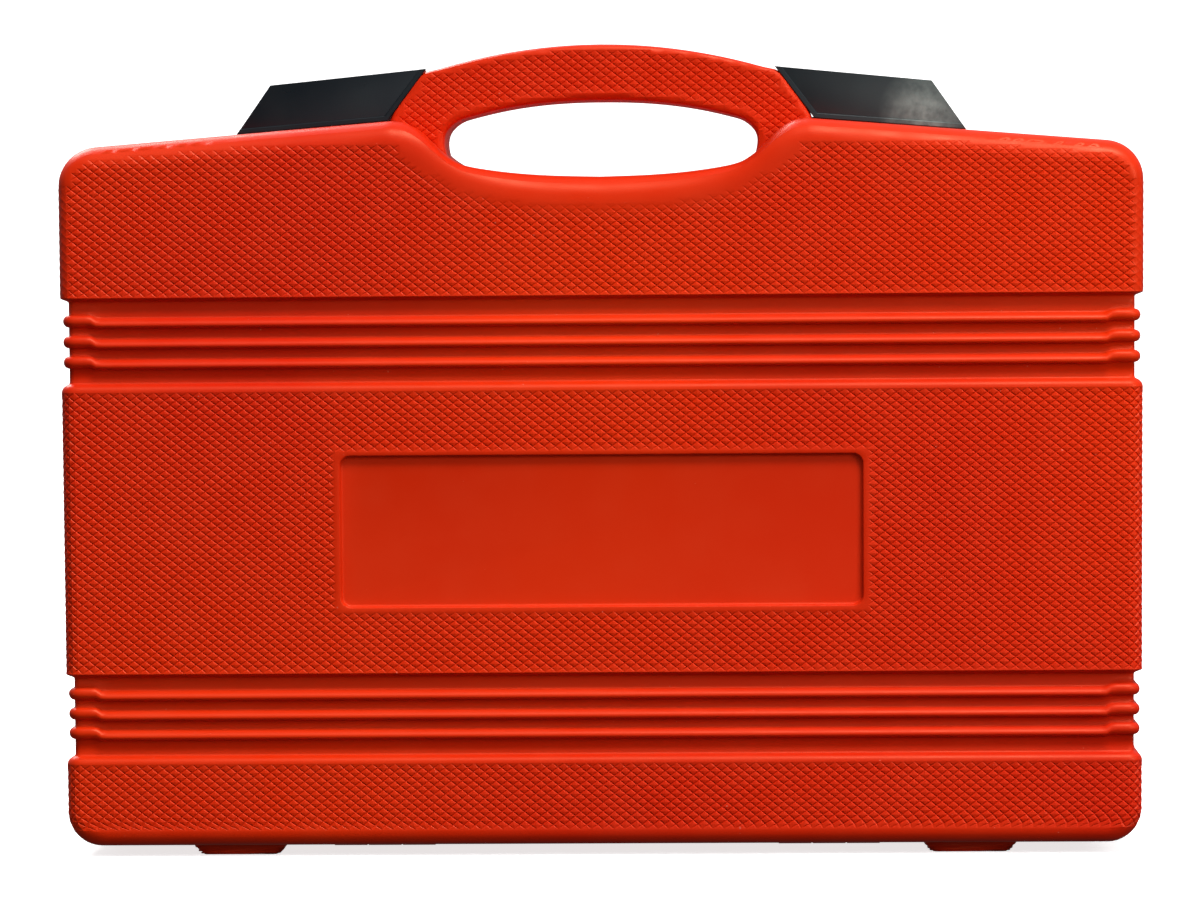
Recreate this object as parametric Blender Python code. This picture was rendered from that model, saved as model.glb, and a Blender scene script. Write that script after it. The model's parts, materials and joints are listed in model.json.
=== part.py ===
"""Socket wrench set in a moulded carrying case.

The case stands upright on its feet: X is its width, Y its depth and Z its height.
The lid is the half at -Y and the base, which holds the tools, is the half at +Y.
The two halves meet at the plane Y = 0 and hinge along the bottom edge. Lengths are
in millimetres and become metres when a mesh is made.
"""

import math

import bmesh
import bpy
from mathutils import Matrix, Vector

MM = 0.001
GAP = 0.3  # clearance between two pieces that touch
BEYOND = 60.0  # further out in Y than any part of the case

# Case, outside
HALF_WIDTH = 195.0
HALF_DEPTH = 42.0
FOOT_HEIGHT = 4.0
PARTING_GAP = 0.2  # from the parting plane to each half
BOTTOM_CORNER = 12.5
TOP_CORNER = 14.0
SHOULDER_OUTER = (195.0, 253.8)
SHOULDER_INNER = (67.0, 264.9)
NOTCH_FOOT = (54.5, 250.6)  # where the body curves down beside the handle opening
SADDLE_Z = 245.2  # lowest point of the body's top edge, under the handle
FRONT_FILLET = 5.0
TOP_FILLET = 7.5

# Handle
HANDLE_HALF_DEPTH = 18.0
HANDLE_TOP = 292.4
HANDLE_CORNER = (62.0, 282.6)
HANDLE_FOOT = (75.5, 264.2)
OPENING_TOP = 272.2
OPENING_BOTTOM = 244.1
OPENING_UPPER_CORNER = (51.7, 263.7)
OPENING_LOWER_CORNER = (49.7, 251.6)
OPENING_END_BULGE = 3.6

# Grooves, ribs and label recess
LOWER_GROOVE = (35.8, 65.6)
UPPER_GROOVE = (169.9, 201.1)
LOWER_RIBS = (43.0, 50.0, 57.0)
UPPER_RIBS = (178.2, 185.5, 193.2)
RIB_HEIGHT = 3.2
GROOVE_DEPTH = 3.0
LABEL_HALF_WIDTH = 94.3
LABEL_Z = (89.8, 144.3)
LABEL_DEPTH = 2.0
LABEL_CORNER = 3.6

# Walls and inside
RIM = 9.0  # thickness of each half's side walls
INSIDE_Y = 36.8  # inner face of each half's large wall
TRAY_SHEET = 1.6
TRAY_SHOULDER = (71.0, 264.5)
TRAY_SADDLE = (57.0, 244.0)
TRAY_CORNER = 5.0
TRAY_Y = 10.0  # face of the tool tray and plane of the tools' axes

# Feet and hinge
FOOT_X = 133.0
FOOT_TOP_HALF = 17.5
FOOT_BASE_HALF = 14.0
FOOT_Y = (16.0, 32.0)
HINGE_Z = FOOT_HEIGHT
HINGE_X = 82.0
KNUCKLE_RADIUS = 3.6
KNUCKLE_LENGTH = 12.0
KNUCKLE_PITCH = 12.6
KNUCKLE_END_ROOM = 0.4  # beside the other half's knuckles
KNUCKLE_ROOM = 0.5  # round the other half's knuckles
HINGE_PIN_LENGTH = 37.0
HINGE_BORE_LENGTH = 60.0
HINGE_PIN_RADIUS = 1.5

# Latches, on the slope from the handle down to the outer corner
LATCH_INNER_TOP = (64.2, 283.9)
LATCH_INNER_FOOT = (77.8, 265.9)
LATCH_OUTER_TOP = (119.9, 278.4)
LATCH_OUTER_FOOT = (131.7, 261.5)
LATCH_Y = (-17.0, 16.5)
LATCH_WALL = 2.3
LATCH_REAR_INNER_X = 78.0
LATCH_PIVOT_X = 102.0
LATCH_PIVOT_Y = 12.0
LATCH_PIVOT_RISE = 9.0  # above the shoulder
LATCH_REAR_START = 9.5  # in front of the pivot, where the inner rear corner is cut away
LATCH_REAR_RISE = 2.5  # the rear wall ends this far above the shoulder
EAR_Z = (263.0, 279.0)
LATCH_PIN_LENGTH = 42.0
LATCH_PIN_SHIFT = 2.0  # of the pin and its bore, outwards along the slope
LATCH_BORE_LENGTH = 62.0
LATCH_PIN_RADIUS = 1.5
BOSS_ROUND = 4.0
BOSS_ROOM = 1.6  # beside the swinging latch
BOSS_OUTER_X = 118.0

# Sockets: size, diameter at the hexagon, diameter at the drive end, length
DRIVE_END = 23.0
SOCKETS = (
    (10, 16.0, DRIVE_END, 38.0),
    (11, 17.0, DRIVE_END, 38.0),
    (12, 18.0, DRIVE_END, 38.0),
    (13, 19.0, DRIVE_END, 38.0),
    (14, 21.0, DRIVE_END, 38.0),
    (15, 22.0, DRIVE_END, 38.0),
    (16, 23.5, DRIVE_END, 38.0),
    (17, 25.0, 25.0, 38.0),
    (18, 26.0, 26.0, 38.0),
    (19, 27.0, 27.0, 38.0),
    (20, 28.0, 28.0, 38.0),
    (21, 29.0, 29.0, 38.0),
    (22, 31.0, 31.0, 38.0),
    (24, 33.0, 33.0, 42.0),
    (27, 37.0, 36.0, 44.0),
    (30, 41.0, 38.0, 46.0),
    (32, 43.0, 40.0, 46.0),
)
SMALL_SOCKETS = 12  # how many of them lie in the lower row
LOWER_ROW_Z = 18.0
UPPER_ROW_Z = 64.0
ROW_START_X = -178.0
LOWER_ROW_END_X = 178.0
UPPER_ROW_SPACE = 6.0
SPARK_PLUG_SOCKETS = ((16, 22.0, 65.0, 40.0), (21, 28.0, 65.0, 111.0))
SPARK_PLUG_ROW_Z = 74.0

# The half-inch drive that all the tools share
DRIVE = 12.7
DRIVE_HOLE = 12.9
DRIVE_HOLE_DEPTH = 15.0
BALL_RADIUS = 2.4
BALL_OFFSET = 4.6  # from the drive's axis to the ball's centre
BALL_HOLE_RADIUS = 2.8
BALL_FROM_END = 6.5

# Extension bars: length, left end X, axis Z
EXTENSIONS = ((125, 47.0, 105.0), (250, -176.0, 184.0))
EXTENSION_END_RADIUS = 11.5
EXTENSION_END_LENGTH = 30.0
EXTENSION_SHAFT_RADIUS = 7.5
DRIVE_LENGTH = 16.0

# Universal joint: its pivot, and distances from it
JOINT_PIVOT = (134.0, TRAY_Y, 149.0)
JOINT_RADIUS = 12.5
JOINT_SLOT = 13.6
JOINT_EAR_INNER = 7.0
JOINT_EAR_HALF = 6.0
JOINT_SOCKET_END = 33.5
JOINT_YOKE_END = 21.0
JOINT_DRIVE_END = 37.0
JOINT_PIN_RADIUS = 2.2
BAY_X = (120.0, 176.0)
BAY_HALF_HEIGHT = 27.5
BAY_Y = (-19.0, 35.5)

# Sliding T-handle
BAR_Z = 214.0
BAR_HALF_LENGTH = 130.0
BAR_RADIUS = 6.0
BAR_HEAD_RADIUS = 12.5
BAR_HEAD_Y = (-1.0, 21.0)
BAR_DRIVE_END_Y = 34.5
BAR_TRAVEL = 109.0
STOP_BALL_X = 124.5
STOP_BALL_RADIUS = 1.8

# Ratchet: its drive axis, and distances along X from it
RATCHET_X = -153.0
RATCHET_Z = 146.0
HEAD_Y = (-2.0, 20.0)
HEAD_RADIUS = 21.0
PAWL_X = 18.5
NECK_X = 22.0
NECK_RADIUS = 14.0
SHANK_RADIUS = 8.0
GRIP_X = (104.0, 229.0)
GRIP_RADIUS = 13.5
CORE_RADIUS = 6.5
GEAR_TEETH = 22
GEAR_TIP = 13.6
GEAR_ROOT = 12.4
GEAR_BORE = 14.3
PAWL_POCKET_X = 20.0
PAWL_POCKET_RADIUS = 9.5
FLOOR_Y = 14.6
HUB_RADIUS = 7.5
COVER_Y = (-4.7, -2.3)
SCREWS = ((-11.3, 13.5), (-11.3, -13.5), (27.0, 9.5), (27.0, -9.5))
SCREW_BORE_RADIUS = 1.5
SHANK_X = 26.0  # where the turned shank and grip core begin
PAWL_BORE_RADIUS = 3.0
BUTTON_BORE_RADIUS = 3.3
NECK_BORE_RADIUS = 10.4
RATCHET_BALL_Y = 29.5

COLOURS = {
    "case_plastic": ((0.62, 0.028, 0.008), 0.42, 0.0),
    "latch_plastic": ((0.012, 0.016, 0.017), 0.38, 0.0),
    "tray_plastic": ((0.03, 0.03, 0.032), 0.5, 0.0),
    "chrome": ((0.75, 0.75, 0.76), 0.16, 1.0),
    "steel": ((0.5, 0.5, 0.51), 0.35, 1.0),
    "grip_rubber": ((0.02, 0.02, 0.022), 0.6, 0.0),
}


# ---------------------------------------------------------------- outlines


def fillet(corners, steps=3):
    """Round an outline's corners, given as (x, z, radius), into short chords."""
    points = []
    count = len(corners)
    for index, (x, z, radius) in enumerate(corners):
        here = Vector((x, z))
        if radius == 0.0:
            points.append((x, z))
            continue
        before = Vector(corners[index - 1][:2])
        after = Vector(corners[(index + 1) % count][:2])
        inward = (before - here).normalized()
        outward = (after - here).normalized()
        half_angle = inward.angle(outward) / 2.0
        middle = (inward + outward).normalized()
        centre = here + middle * (radius / math.sin(half_angle))
        start = here + inward * (radius / math.tan(half_angle)) - centre
        end = here + outward * (radius / math.tan(half_angle)) - centre
        sweep = start.angle_signed(end)
        for step in range(steps + 1):
            turned_by = Matrix.Rotation(-sweep * step / steps, 2)
            point = centre + turned_by @ start
            points.append((point.x, point.y))
    return points


def arc(start, end, bulge, steps):
    """Points from start up to, and not with, end, bulging to the left by bulge."""
    first = Vector(start)
    last = Vector(end)
    chord = last - first
    left = Vector((-chord.y, chord.x)).normalized()
    half = chord.length / 2.0
    radius = (half * half + bulge * bulge) / (2.0 * abs(bulge))
    side = 1.0 if bulge > 0.0 else -1.0
    centre = (first + last) / 2.0 - left * side * (radius - abs(bulge))
    half_sweep = math.asin(min(1.0, half / radius))
    points = []
    for step in range(steps):
        angle = half_sweep * (1.0 - 2.0 * step / steps)
        along = chord.normalized() * (-math.sin(angle) * radius)
        point = centre + along + left * side * (radius * math.cos(angle))
        points.append((point.x, point.y))
    return points


def inset(outline, distance):
    """Move each point of an anticlockwise outline inward, by a number or a list."""
    count = len(outline)
    distances = distance if isinstance(distance, list) else [distance] * count
    points = []
    for index in range(count):
        here = Vector(outline[index])
        before = (here - Vector(outline[index - 1])).normalized()
        after = (Vector(outline[(index + 1) % count]) - here).normalized()
        normal = Vector((-before.y - after.y, before.x + after.x)).normalized()
        shrink = max(0.35, normal.dot(Vector((-before.y, before.x))))
        moved = here + normal * (distances[index] / shrink)
        points.append((moved.x, moved.y))
    return points


def body_outline():
    """Front outline of the case without its handle, anticlockwise."""
    bottom = FOOT_HEIGHT
    right = [
        (HALF_WIDTH, bottom, BOTTOM_CORNER),
        (*SHOULDER_OUTER, TOP_CORNER),
        (*SHOULDER_INNER, 8.0),
        (*NOTCH_FOOT, 0.0),
    ]
    left = [(-x, z, radius) for x, z, radius in reversed(right)]
    points = fillet(right + left)
    foot = points.index(NOTCH_FOOT)
    saddle = arc(NOTCH_FOOT, (-NOTCH_FOOT[0], NOTCH_FOOT[1]), NOTCH_FOOT[1] - SADDLE_Z, 8)
    return points[:foot] + saddle + points[foot + 1 :]


def handle_outline():
    """Front outline of the handle, reaching down into the body."""
    x, z = HANDLE_CORNER
    foot_x, foot_z = HANDLE_FOOT
    top = arc((x, z), (-x, z), z - HANDLE_TOP, 10)
    low = foot_z - 6.0
    return [(foot_x, low), (foot_x, foot_z)] + top + [(-x, z), (-foot_x, foot_z), (-foot_x, low)]


def opening_outline():
    """Lens-shaped opening of the handle, anticlockwise from its right upper corner."""
    upper_x, upper_z = OPENING_UPPER_CORNER
    lower_x, lower_z = OPENING_LOWER_CORNER
    rise = OPENING_TOP - upper_z
    drop = lower_z - OPENING_BOTTOM
    top = arc((upper_x, upper_z), (-upper_x, upper_z), -rise, 8)
    left = arc((-upper_x, upper_z), (-lower_x, lower_z), -OPENING_END_BULGE, 3)
    bottom = arc((-lower_x, lower_z), (lower_x, lower_z), -drop, 8)
    right = arc((lower_x, lower_z), (upper_x, upper_z), -OPENING_END_BULGE, 3)
    return top + left + bottom + right


def circle_outline(x, z, radius, sides=24):
    """A regular outline round a centre."""
    turn = math.tau / sides
    return [
        (x + radius * math.cos(turn * (k + 0.5)), z + radius * math.sin(turn * (k + 0.5)))
        for k in range(sides)
    ]


# ------------------------------------------------------------------ solids


def loft(rings, name="loft"):
    """A closed solid through rings of equal length, with flat ends."""
    mesh = bmesh.new()
    made = [[mesh.verts.new(Vector(point) * MM) for point in ring] for ring in rings]
    count = len(rings[0])
    for lower, upper in zip(made, made[1:]):
        for index in range(count):
            following = (index + 1) % count
            mesh.faces.new((lower[index], lower[following], upper[following], upper[index]))
    mesh.faces.new(list(reversed(made[0])))
    mesh.faces.new(made[-1])
    bmesh.ops.recalc_face_normals(mesh, faces=mesh.faces)
    data = bpy.data.meshes.new(name)
    mesh.to_mesh(data)
    mesh.free()
    solid = bpy.data.objects.new(name, data)
    bpy.context.scene.collection.objects.link(solid)
    return solid


def prism(outline, y_start, y_end):
    """An outline in X and Z, extruded along Y."""
    return loft([[(x, y, z) for x, z in outline] for y in (y_start, y_end)])


def block(low, high):
    """A box between two corners."""
    outline = [(low[0], low[2]), (high[0], low[2]), (high[0], high[2]), (low[0], high[2])]
    return prism(outline, low[1], high[1])


def turned(profile, base, axis, sides=18, phase=0.5):
    """A profile of (distance, radius) turned about an axis that starts at base."""
    direction = Vector(axis).normalized()
    reference = Vector((0.0, 0.0, 1.0) if abs(direction.x) > 0.9 else (1.0, 0.0, 0.0))
    across = (reference - direction * reference.dot(direction)).normalized()
    other = direction.cross(across)
    rings = []
    for distance, radius in profile:
        centre = Vector(base) + direction * distance
        ring = []
        for index in range(sides):
            angle = math.tau * (index + phase) / sides
            spoke = across * math.cos(angle) + other * math.sin(angle)
            ring.append(centre + spoke * radius)
        rings.append(ring)
    return loft(rings)


def rod(base, axis, length, radius, sides=16):
    """A plain round bar from base along axis."""
    return turned([(0.0, radius), (length, radius)], base, axis, sides)


def bar(base, axis, length, across_flats, sides=4):
    """A square or hexagonal bar, given by its width across the flats."""
    radius = across_flats / 2.0 / math.cos(math.pi / sides)
    return turned([(0.0, radius), (length, radius)], base, axis, sides)


def sphere(centre, radius, name):
    """A small ball."""
    mesh = bmesh.new()
    bmesh.ops.create_icosphere(mesh, subdivisions=2, radius=radius * MM)
    bmesh.ops.translate(mesh, verts=mesh.verts, vec=Vector(centre) * MM)
    data = bpy.data.meshes.new(name)
    mesh.to_mesh(data)
    mesh.free()
    solid = bpy.data.objects.new(name, data)
    bpy.context.scene.collection.objects.link(solid)
    return solid


def combine(target, tool, operation):
    """Apply a Boolean of tool to target and remove tool."""
    modifier = target.modifiers.new("combine", "BOOLEAN")
    modifier.operation = operation
    modifier.object = tool
    modifier.solver = "EXACT"
    graph = bpy.context.evaluated_depsgraph_get()
    result = bpy.data.meshes.new_from_object(target.evaluated_get(graph))
    target.modifiers.clear()
    target.data = result
    bpy.data.objects.remove(tool)
    return target


def carve(target, *tools):
    """Cut each tool out of target."""
    for tool in tools:
        combine(target, tool, "DIFFERENCE")
    return target


def merge(target, *tools):
    """Unite each tool with target."""
    for tool in tools:
        combine(target, tool, "UNION")
    return target


def keep_largest(solid):
    """Drop every separate body but the one with the most vertices."""
    mesh = bmesh.new()
    mesh.from_mesh(solid.data)
    unseen = set(mesh.verts)
    groups = []
    while unseen:
        stack = [unseen.pop()]
        group = []
        while stack:
            vertex = stack.pop()
            group.append(vertex)
            for edge in vertex.link_edges:
                other = edge.other_vert(vertex)
                if other in unseen:
                    unseen.remove(other)
                    stack.append(other)
        groups.append(group)
    groups.sort(key=len, reverse=True)
    for group in groups[1:]:
        bmesh.ops.delete(mesh, geom=group, context="VERTS")
    mesh.to_mesh(solid.data)
    mesh.free()
    return solid


# --------------------------------------------------------------- finishing

MATERIALS = {}


def material(name):
    """The shared material of this name, made once."""
    if name not in MATERIALS:
        colour, roughness, metallic = COLOURS[name]
        made = bpy.data.materials.new(name)
        made.use_nodes = True
        shader = made.node_tree.nodes["Principled BSDF"]
        shader.inputs["Base Color"].default_value = (*colour, 1.0)
        shader.inputs["Roughness"].default_value = roughness
        shader.inputs["Metallic"].default_value = metallic
        made.diffuse_color = (*colour, 1.0)
        MATERIALS[name] = made
    return MATERIALS[name]


def finish(solid, name, finish_name, pivot=(0.0, 0.0, 0.0), parent=None):
    """Name a finished piece, give it its material and put its origin at pivot."""
    solid.name = name
    solid.data.name = name
    solid.data.materials.clear()
    solid.data.materials.append(material(finish_name))
    solid.data.shade_smooth()
    solid.data.set_sharp_from_angle(angle=math.radians(32.0))
    origin = Vector(pivot) * MM
    solid.data.transform(Matrix.Translation(-origin))
    solid.location = origin
    if parent is not None:
        solid.parent = parent
        solid.location = origin - parent.location
    return solid


# -------------------------------------------------------------------- case


def fillet_radius(z):
    """Radius of the body's front edge: wider along the top than elsewhere."""
    share = min(1.0, max(0.0, (z - 236.0) / 14.0))
    return FRONT_FILLET + (TOP_FILLET - FRONT_FILLET) * share


def body_solid(side, offset, start):
    """One half of the body without grooves, inset by offset, from |Y| = start."""
    outline = body_outline()
    radii = [max(1.5, fillet_radius(z) - offset) for x, z in outline]
    depth = HALF_DEPTH - offset
    rings = [[(x, side * start, z) for x, z in inset(outline, offset)]]
    for step in range(3):
        angle = math.radians(45.0 * step)
        amounts = [offset + r * (1.0 - math.cos(angle)) for r in radii]
        moved = inset(outline, amounts)
        ring = []
        for (x, z), radius in zip(moved, radii):
            ring.append((x, side * (depth - radius * (1.0 - math.sin(angle))), z))
        rings.append(ring)
    return loft(rings)


def groove_bands():
    """Height ranges cut by the grooves, between the ribs."""
    bands = []
    for (low, high), ribs in ((LOWER_GROOVE, LOWER_RIBS), (UPPER_GROOVE, UPPER_RIBS)):
        edges = [low]
        for centre in ribs:
            edges += [centre - RIB_HEIGHT / 2.0, centre + RIB_HEIGHT / 2.0]
        edges.append(high)
        bands += list(zip(edges[0::2], edges[1::2]))
    return bands


def grooved_body(side):
    """One half of the body with its grooves."""
    body = body_solid(side, 0.0, PARTING_GAP)
    for low, high in groove_bands():
        band = prism([(-220.0, low), (220.0, low), (220.0, high), (-220.0, high)], 0.0, side * BEYOND)
        carve(band, body_solid(side, GROOVE_DEPTH, -1.0))
        carve(body, band)
    return body


def label_recess():
    """The recess for a label in the lid's front."""
    half = LABEL_HALF_WIDTH
    low, high = LABEL_Z
    corner = LABEL_CORNER
    corners = [(-half, low, corner), (half, low, corner), (half, high, corner), (-half, high, corner)]
    return prism(fillet(corners, 2), -BEYOND, -HALF_DEPTH + LABEL_DEPTH)


def hinge_knuckles(side):
    """X ranges of one half's knuckles: two on the base and one on the lid, per hinge."""
    offsets = (-1.0, 1.0) if side > 0 else (0.0,)
    ranges = []
    for centre in (-HINGE_X, HINGE_X):
        for offset in offsets:
            middle = centre + offset * KNUCKLE_PITCH
            ranges.append((middle - KNUCKLE_LENGTH / 2.0, middle + KNUCKLE_LENGTH / 2.0))
    return ranges


def tray_outline(shift):
    """Outline of the hollow inside the rim, further in by shift."""
    right = [(HALF_WIDTH, FOOT_HEIGHT), SHOULDER_OUTER, TRAY_SHOULDER, TRAY_SADDLE]
    left = [(-x, z) for x, z in reversed(right)]
    corners = inset(right + left, RIM + shift)
    return fillet([(x, z, TRAY_CORNER) for x, z in corners])


def socket_places():
    """Each socket's (size, hexagon diameter, drive diameter, length, X, low Z)."""
    places = []
    small = SOCKETS[:SMALL_SOCKETS]
    widths = [max(hexagon, drive) for size, hexagon, drive, length in small]
    space = (LOWER_ROW_END_X - ROW_START_X - sum(widths)) / (len(small) - 1)
    x = ROW_START_X
    for socket, width in zip(small, widths):
        places.append((*socket, x + width / 2.0, LOWER_ROW_Z))
        x += width + space
    x = ROW_START_X
    for socket in SOCKETS[SMALL_SOCKETS:]:
        width = max(socket[1], socket[2])
        places.append((*socket, x + width / 2.0, UPPER_ROW_Z))
        x += width + UPPER_ROW_SPACE
    return places


def tool_pockets(grow):
    """Solids of all the tool pockets in the base, grown by grow."""
    room = 1.0 + grow
    pockets = []
    for size, hexagon, drive, length, x, z in socket_places():
        radius = max(hexagon, drive) / 2.0 + room
        pockets.append(rod((x, TRAY_Y, z - room), (0, 0, 1), length + 2.0 * room, radius, 12))
    for size, diameter, length, x in SPARK_PLUG_SOCKETS:
        base = (x - room, TRAY_Y, SPARK_PLUG_ROW_Z)
        pockets.append(rod(base, (1, 0, 0), length + 2.0 * room, diameter / 2.0 + room, 12))
    for length, x, z in EXTENSIONS:
        end = EXTENSION_END_LENGTH + 2.0 * room
        pockets.append(rod((x - room, TRAY_Y, z), (1, 0, 0), end, EXTENSION_END_RADIUS + room, 12))
        rest = length + 2.0 * room - 20.0
        pockets.append(rod((x - room + 20.0, TRAY_Y, z), (1, 0, 0), rest, 9.4 + room, 12))
    pockets += ratchet_pockets(room)
    pockets += joint_pockets(room)
    pockets += bar_pockets(room)
    return pockets


def ratchet_pockets(room):
    """Pockets for the ratchet's head, drive, shank and grip."""
    middle = sum(HEAD_Y) / 2.0
    head = prism(head_outline(-room), -2.0, HEAD_Y[1] + room)
    neck = block(
        (RATCHET_X + NECK_X, -2.0, RATCHET_Z - 10.0 - room),
        (RATCHET_X + 42.0 + room, HEAD_Y[1] + room, RATCHET_Z + 10.0 + room),
    )
    drive = rod((RATCHET_X, 10.0, RATCHET_Z), (0, 1, 0), 26.3 + room, 11.0 + room, 12)
    shank = rod((RATCHET_X + 30.0, middle, RATCHET_Z), (1, 0, 0), 90.0, SHANK_RADIUS + room, 12)
    grip_start = RATCHET_X + GRIP_X[0] - room
    grip_length = GRIP_X[1] - GRIP_X[0] + 2.0 * room
    grip = rod((grip_start, middle, RATCHET_Z), (1, 0, 0), grip_length, GRIP_RADIUS + room, 12)
    return [head, neck, drive, shank, grip]


def joint_pockets(room):
    """Cradle of the universal joint's socket end, and the bay its drive end tilts in."""
    x, y, z = JOINT_PIVOT
    start = x - JOINT_SOCKET_END - room
    cradle = rod((start, y, z), (1, 0, 0), BAY_X[0] - start + 2.0, JOINT_RADIUS + room, 12)
    extra = room - 1.0
    bay = block(
        (BAY_X[0] - extra, -2.0, z - BAY_HALF_HEIGHT - extra),
        (BAY_X[1] + extra, BAY_Y[1] + extra, z + BAY_HALF_HEIGHT + extra),
    )
    return [cradle, bay]


def bar_pockets(room):
    """Lane in which the T-handle's head slides, and notches for the bar's ends."""
    reach = BAR_TRAVEL + BAR_HEAD_RADIUS + room
    half = BAR_HEAD_RADIUS + 1.0 + room
    lane = block(
        (-reach, -2.0, BAR_Z - half),
        (reach, BAR_DRIVE_END_Y + room, BAR_Z + half),
    )
    length = 2.0 * (BAR_HALF_LENGTH + room)
    notch = rod((-BAR_HALF_LENGTH - room, TRAY_Y, BAR_Z), (1, 0, 0), length, BAR_RADIUS + room, 12)
    return [notch, lane]


def tool_tray():
    """The moulded insert in the base: a sheet with a cup for each tool."""
    tray = prism(tray_outline(GAP), TRAY_Y, TRAY_Y + TRAY_SHEET)
    merge(tray, *tool_pockets(TRAY_SHEET))
    carve(tray, block((-200.0, -BEYOND, 0.0), (200.0, TRAY_Y, 300.0)))
    carve(tray, block((-200.0, INSIDE_Y - GAP, 0.0), (200.0, BEYOND, 300.0)))
    carve(tray, *tool_pockets(0.0))
    return keep_largest(tray)


def foot(side, x):
    """One moulded foot under a half of the body."""
    outline = [
        (x - FOOT_BASE_HALF, 0.0),
        (x + FOOT_BASE_HALF, 0.0),
        (x + FOOT_TOP_HALF, FOOT_HEIGHT + 1.0),
        (x - FOOT_TOP_HALF, FOOT_HEIGHT + 1.0),
    ]
    return prism(outline, side * FOOT_Y[0], side * FOOT_Y[1])


def shell(side):
    """One moulded half of the case, with its half of the handle and hinges."""
    half = grooved_body(side)
    merge(half, prism(handle_outline(), side * PARTING_GAP, side * HANDLE_HALF_DEPTH))
    carve(half, prism(opening_outline(), -BEYOND, BEYOND))
    merge(half, foot(side, -FOOT_X), foot(side, FOOT_X))
    carve(half, prism(tray_outline(0.0), -side, side * INSIDE_Y))
    if side < 0:
        carve(half, label_recess())
    for low, high in hinge_knuckles(-side):
        start = (low - KNUCKLE_END_ROOM, 0.0, HINGE_Z)
        length = high - low + 2.0 * KNUCKLE_END_ROOM
        carve(half, rod(start, (1, 0, 0), length, KNUCKLE_RADIUS + KNUCKLE_ROOM, 16))
    for low, high in hinge_knuckles(side):
        merge(half, rod((low, 0.0, HINGE_Z), (1, 0, 0), high - low, KNUCKLE_RADIUS, 16))
    for centre in (-HINGE_X, HINGE_X):
        start = (centre - HINGE_BORE_LENGTH / 2.0, 0.0, HINGE_Z)
        carve(half, rod(start, (1, 0, 0), HINGE_BORE_LENGTH, HINGE_PIN_RADIUS + GAP, 12))
    if side > 0:
        for mirror in (-1.0, 1.0):
            merge(half, latch_boss(mirror))
            bore_radius = LATCH_PIN_RADIUS + GAP
            carve(half, latch_rod(mirror, LATCH_BORE_LENGTH, LATCH_PIN_SHIFT, bore_radius))
    return half


# ----------------------------------------------------------------- latches


def shoulder_slope():
    """Unit direction down the right shoulder, away from the handle."""
    return (Vector(SHOULDER_OUTER) - Vector(SHOULDER_INNER)).normalized()


def shoulder_z(x):
    """Height of the right shoulder at x."""
    slope = shoulder_slope()
    return SHOULDER_INNER[1] + (x - SHOULDER_INNER[0]) * slope.y / slope.x


def latch_pivot(mirror):
    """A point on the latch's pivot axis, above the middle of the latch."""
    z = shoulder_z(LATCH_PIVOT_X) + LATCH_PIVOT_RISE
    return (mirror * LATCH_PIVOT_X, LATCH_PIVOT_Y, z)


def latch_rod(mirror, length, along, radius):
    """A round bar on the latch's pivot axis, its middle moved along the slope."""
    slope = shoulder_slope()
    direction = Vector((mirror * slope.x, 0.0, slope.y))
    middle = Vector(latch_pivot(mirror)) + direction * along
    return rod(middle - direction * (length / 2.0), direction, length, radius, 12)


def latch_boss(mirror):
    """The ridge on the base that carries the latch's pin."""
    inner = LATCH_REAR_INNER_X + LATCH_WALL + BOSS_ROOM
    outer = BOSS_OUTER_X
    profile = [(0.5, -LATCH_PIVOT_RISE - 4.0), (0.5, BOSS_ROUND), (LATCH_PIVOT_Y, BOSS_ROUND)]
    for step in range(1, 4):
        angle = math.radians(90.0 - 30.0 * step)
        y = LATCH_PIVOT_Y + BOSS_ROUND * math.cos(angle)
        profile.append((y, BOSS_ROUND * math.sin(angle)))
    profile.append((LATCH_PIVOT_Y + BOSS_ROUND, -LATCH_PIVOT_RISE - 4.0))
    rings = []
    for x in (inner, outer):
        axis_z = shoulder_z(x) + LATCH_PIVOT_RISE
        rings.append([(mirror * x, y, axis_z + rise) for y, rise in profile])
    return loft(rings)


def latch(mirror):
    """One cap-shaped latch: front flap, top plate and two ears for the pin."""
    outline = [LATCH_INNER_FOOT, LATCH_OUTER_FOOT, LATCH_OUTER_TOP, LATCH_INNER_TOP]
    cap = prism([(mirror * x, z) for x, z in outline], *LATCH_Y)
    slot = latch_inside(LATCH_INNER_FOOT, LATCH_INNER_TOP)
    carve(cap, prism([(mirror * x, z) for x, z in slot], LATCH_Y[0] + LATCH_WALL, BEYOND))
    corner = [(60.0, 250.0), (LATCH_REAR_INNER_X, 250.0), (LATCH_REAR_INNER_X, 290.0), (60.0, 290.0)]
    rear_start = LATCH_PIVOT_Y - LATCH_REAR_START
    carve(cap, prism([(mirror * x, z) for x, z in corner], rear_start, BEYOND))
    low, high = EAR_Z
    near, far = LATCH_REAR_INNER_X, LATCH_REAR_INNER_X + LATCH_WALL
    wall = [(near, low), (far, low), (far, high), (near, high)]
    ear = prism([(mirror * x, z) for x, z in wall], LATCH_Y[0] + 1.0, LATCH_Y[1])
    carve(ear, latch_floor(mirror))
    merge(cap, ear)
    below = [(60.0, 230.0), (140.0, 230.0)]
    below += [(x, shoulder_z(x) + LATCH_REAR_RISE) for x in (140.0, 60.0)]
    carve(cap, prism([(mirror * x, z) for x, z in below], LATCH_PIVOT_Y + 0.8, BEYOND))
    carve(cap, latch_rod(mirror, LATCH_BORE_LENGTH + 28.0, 0.0, LATCH_PIN_RADIUS + GAP))
    return cap


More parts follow.
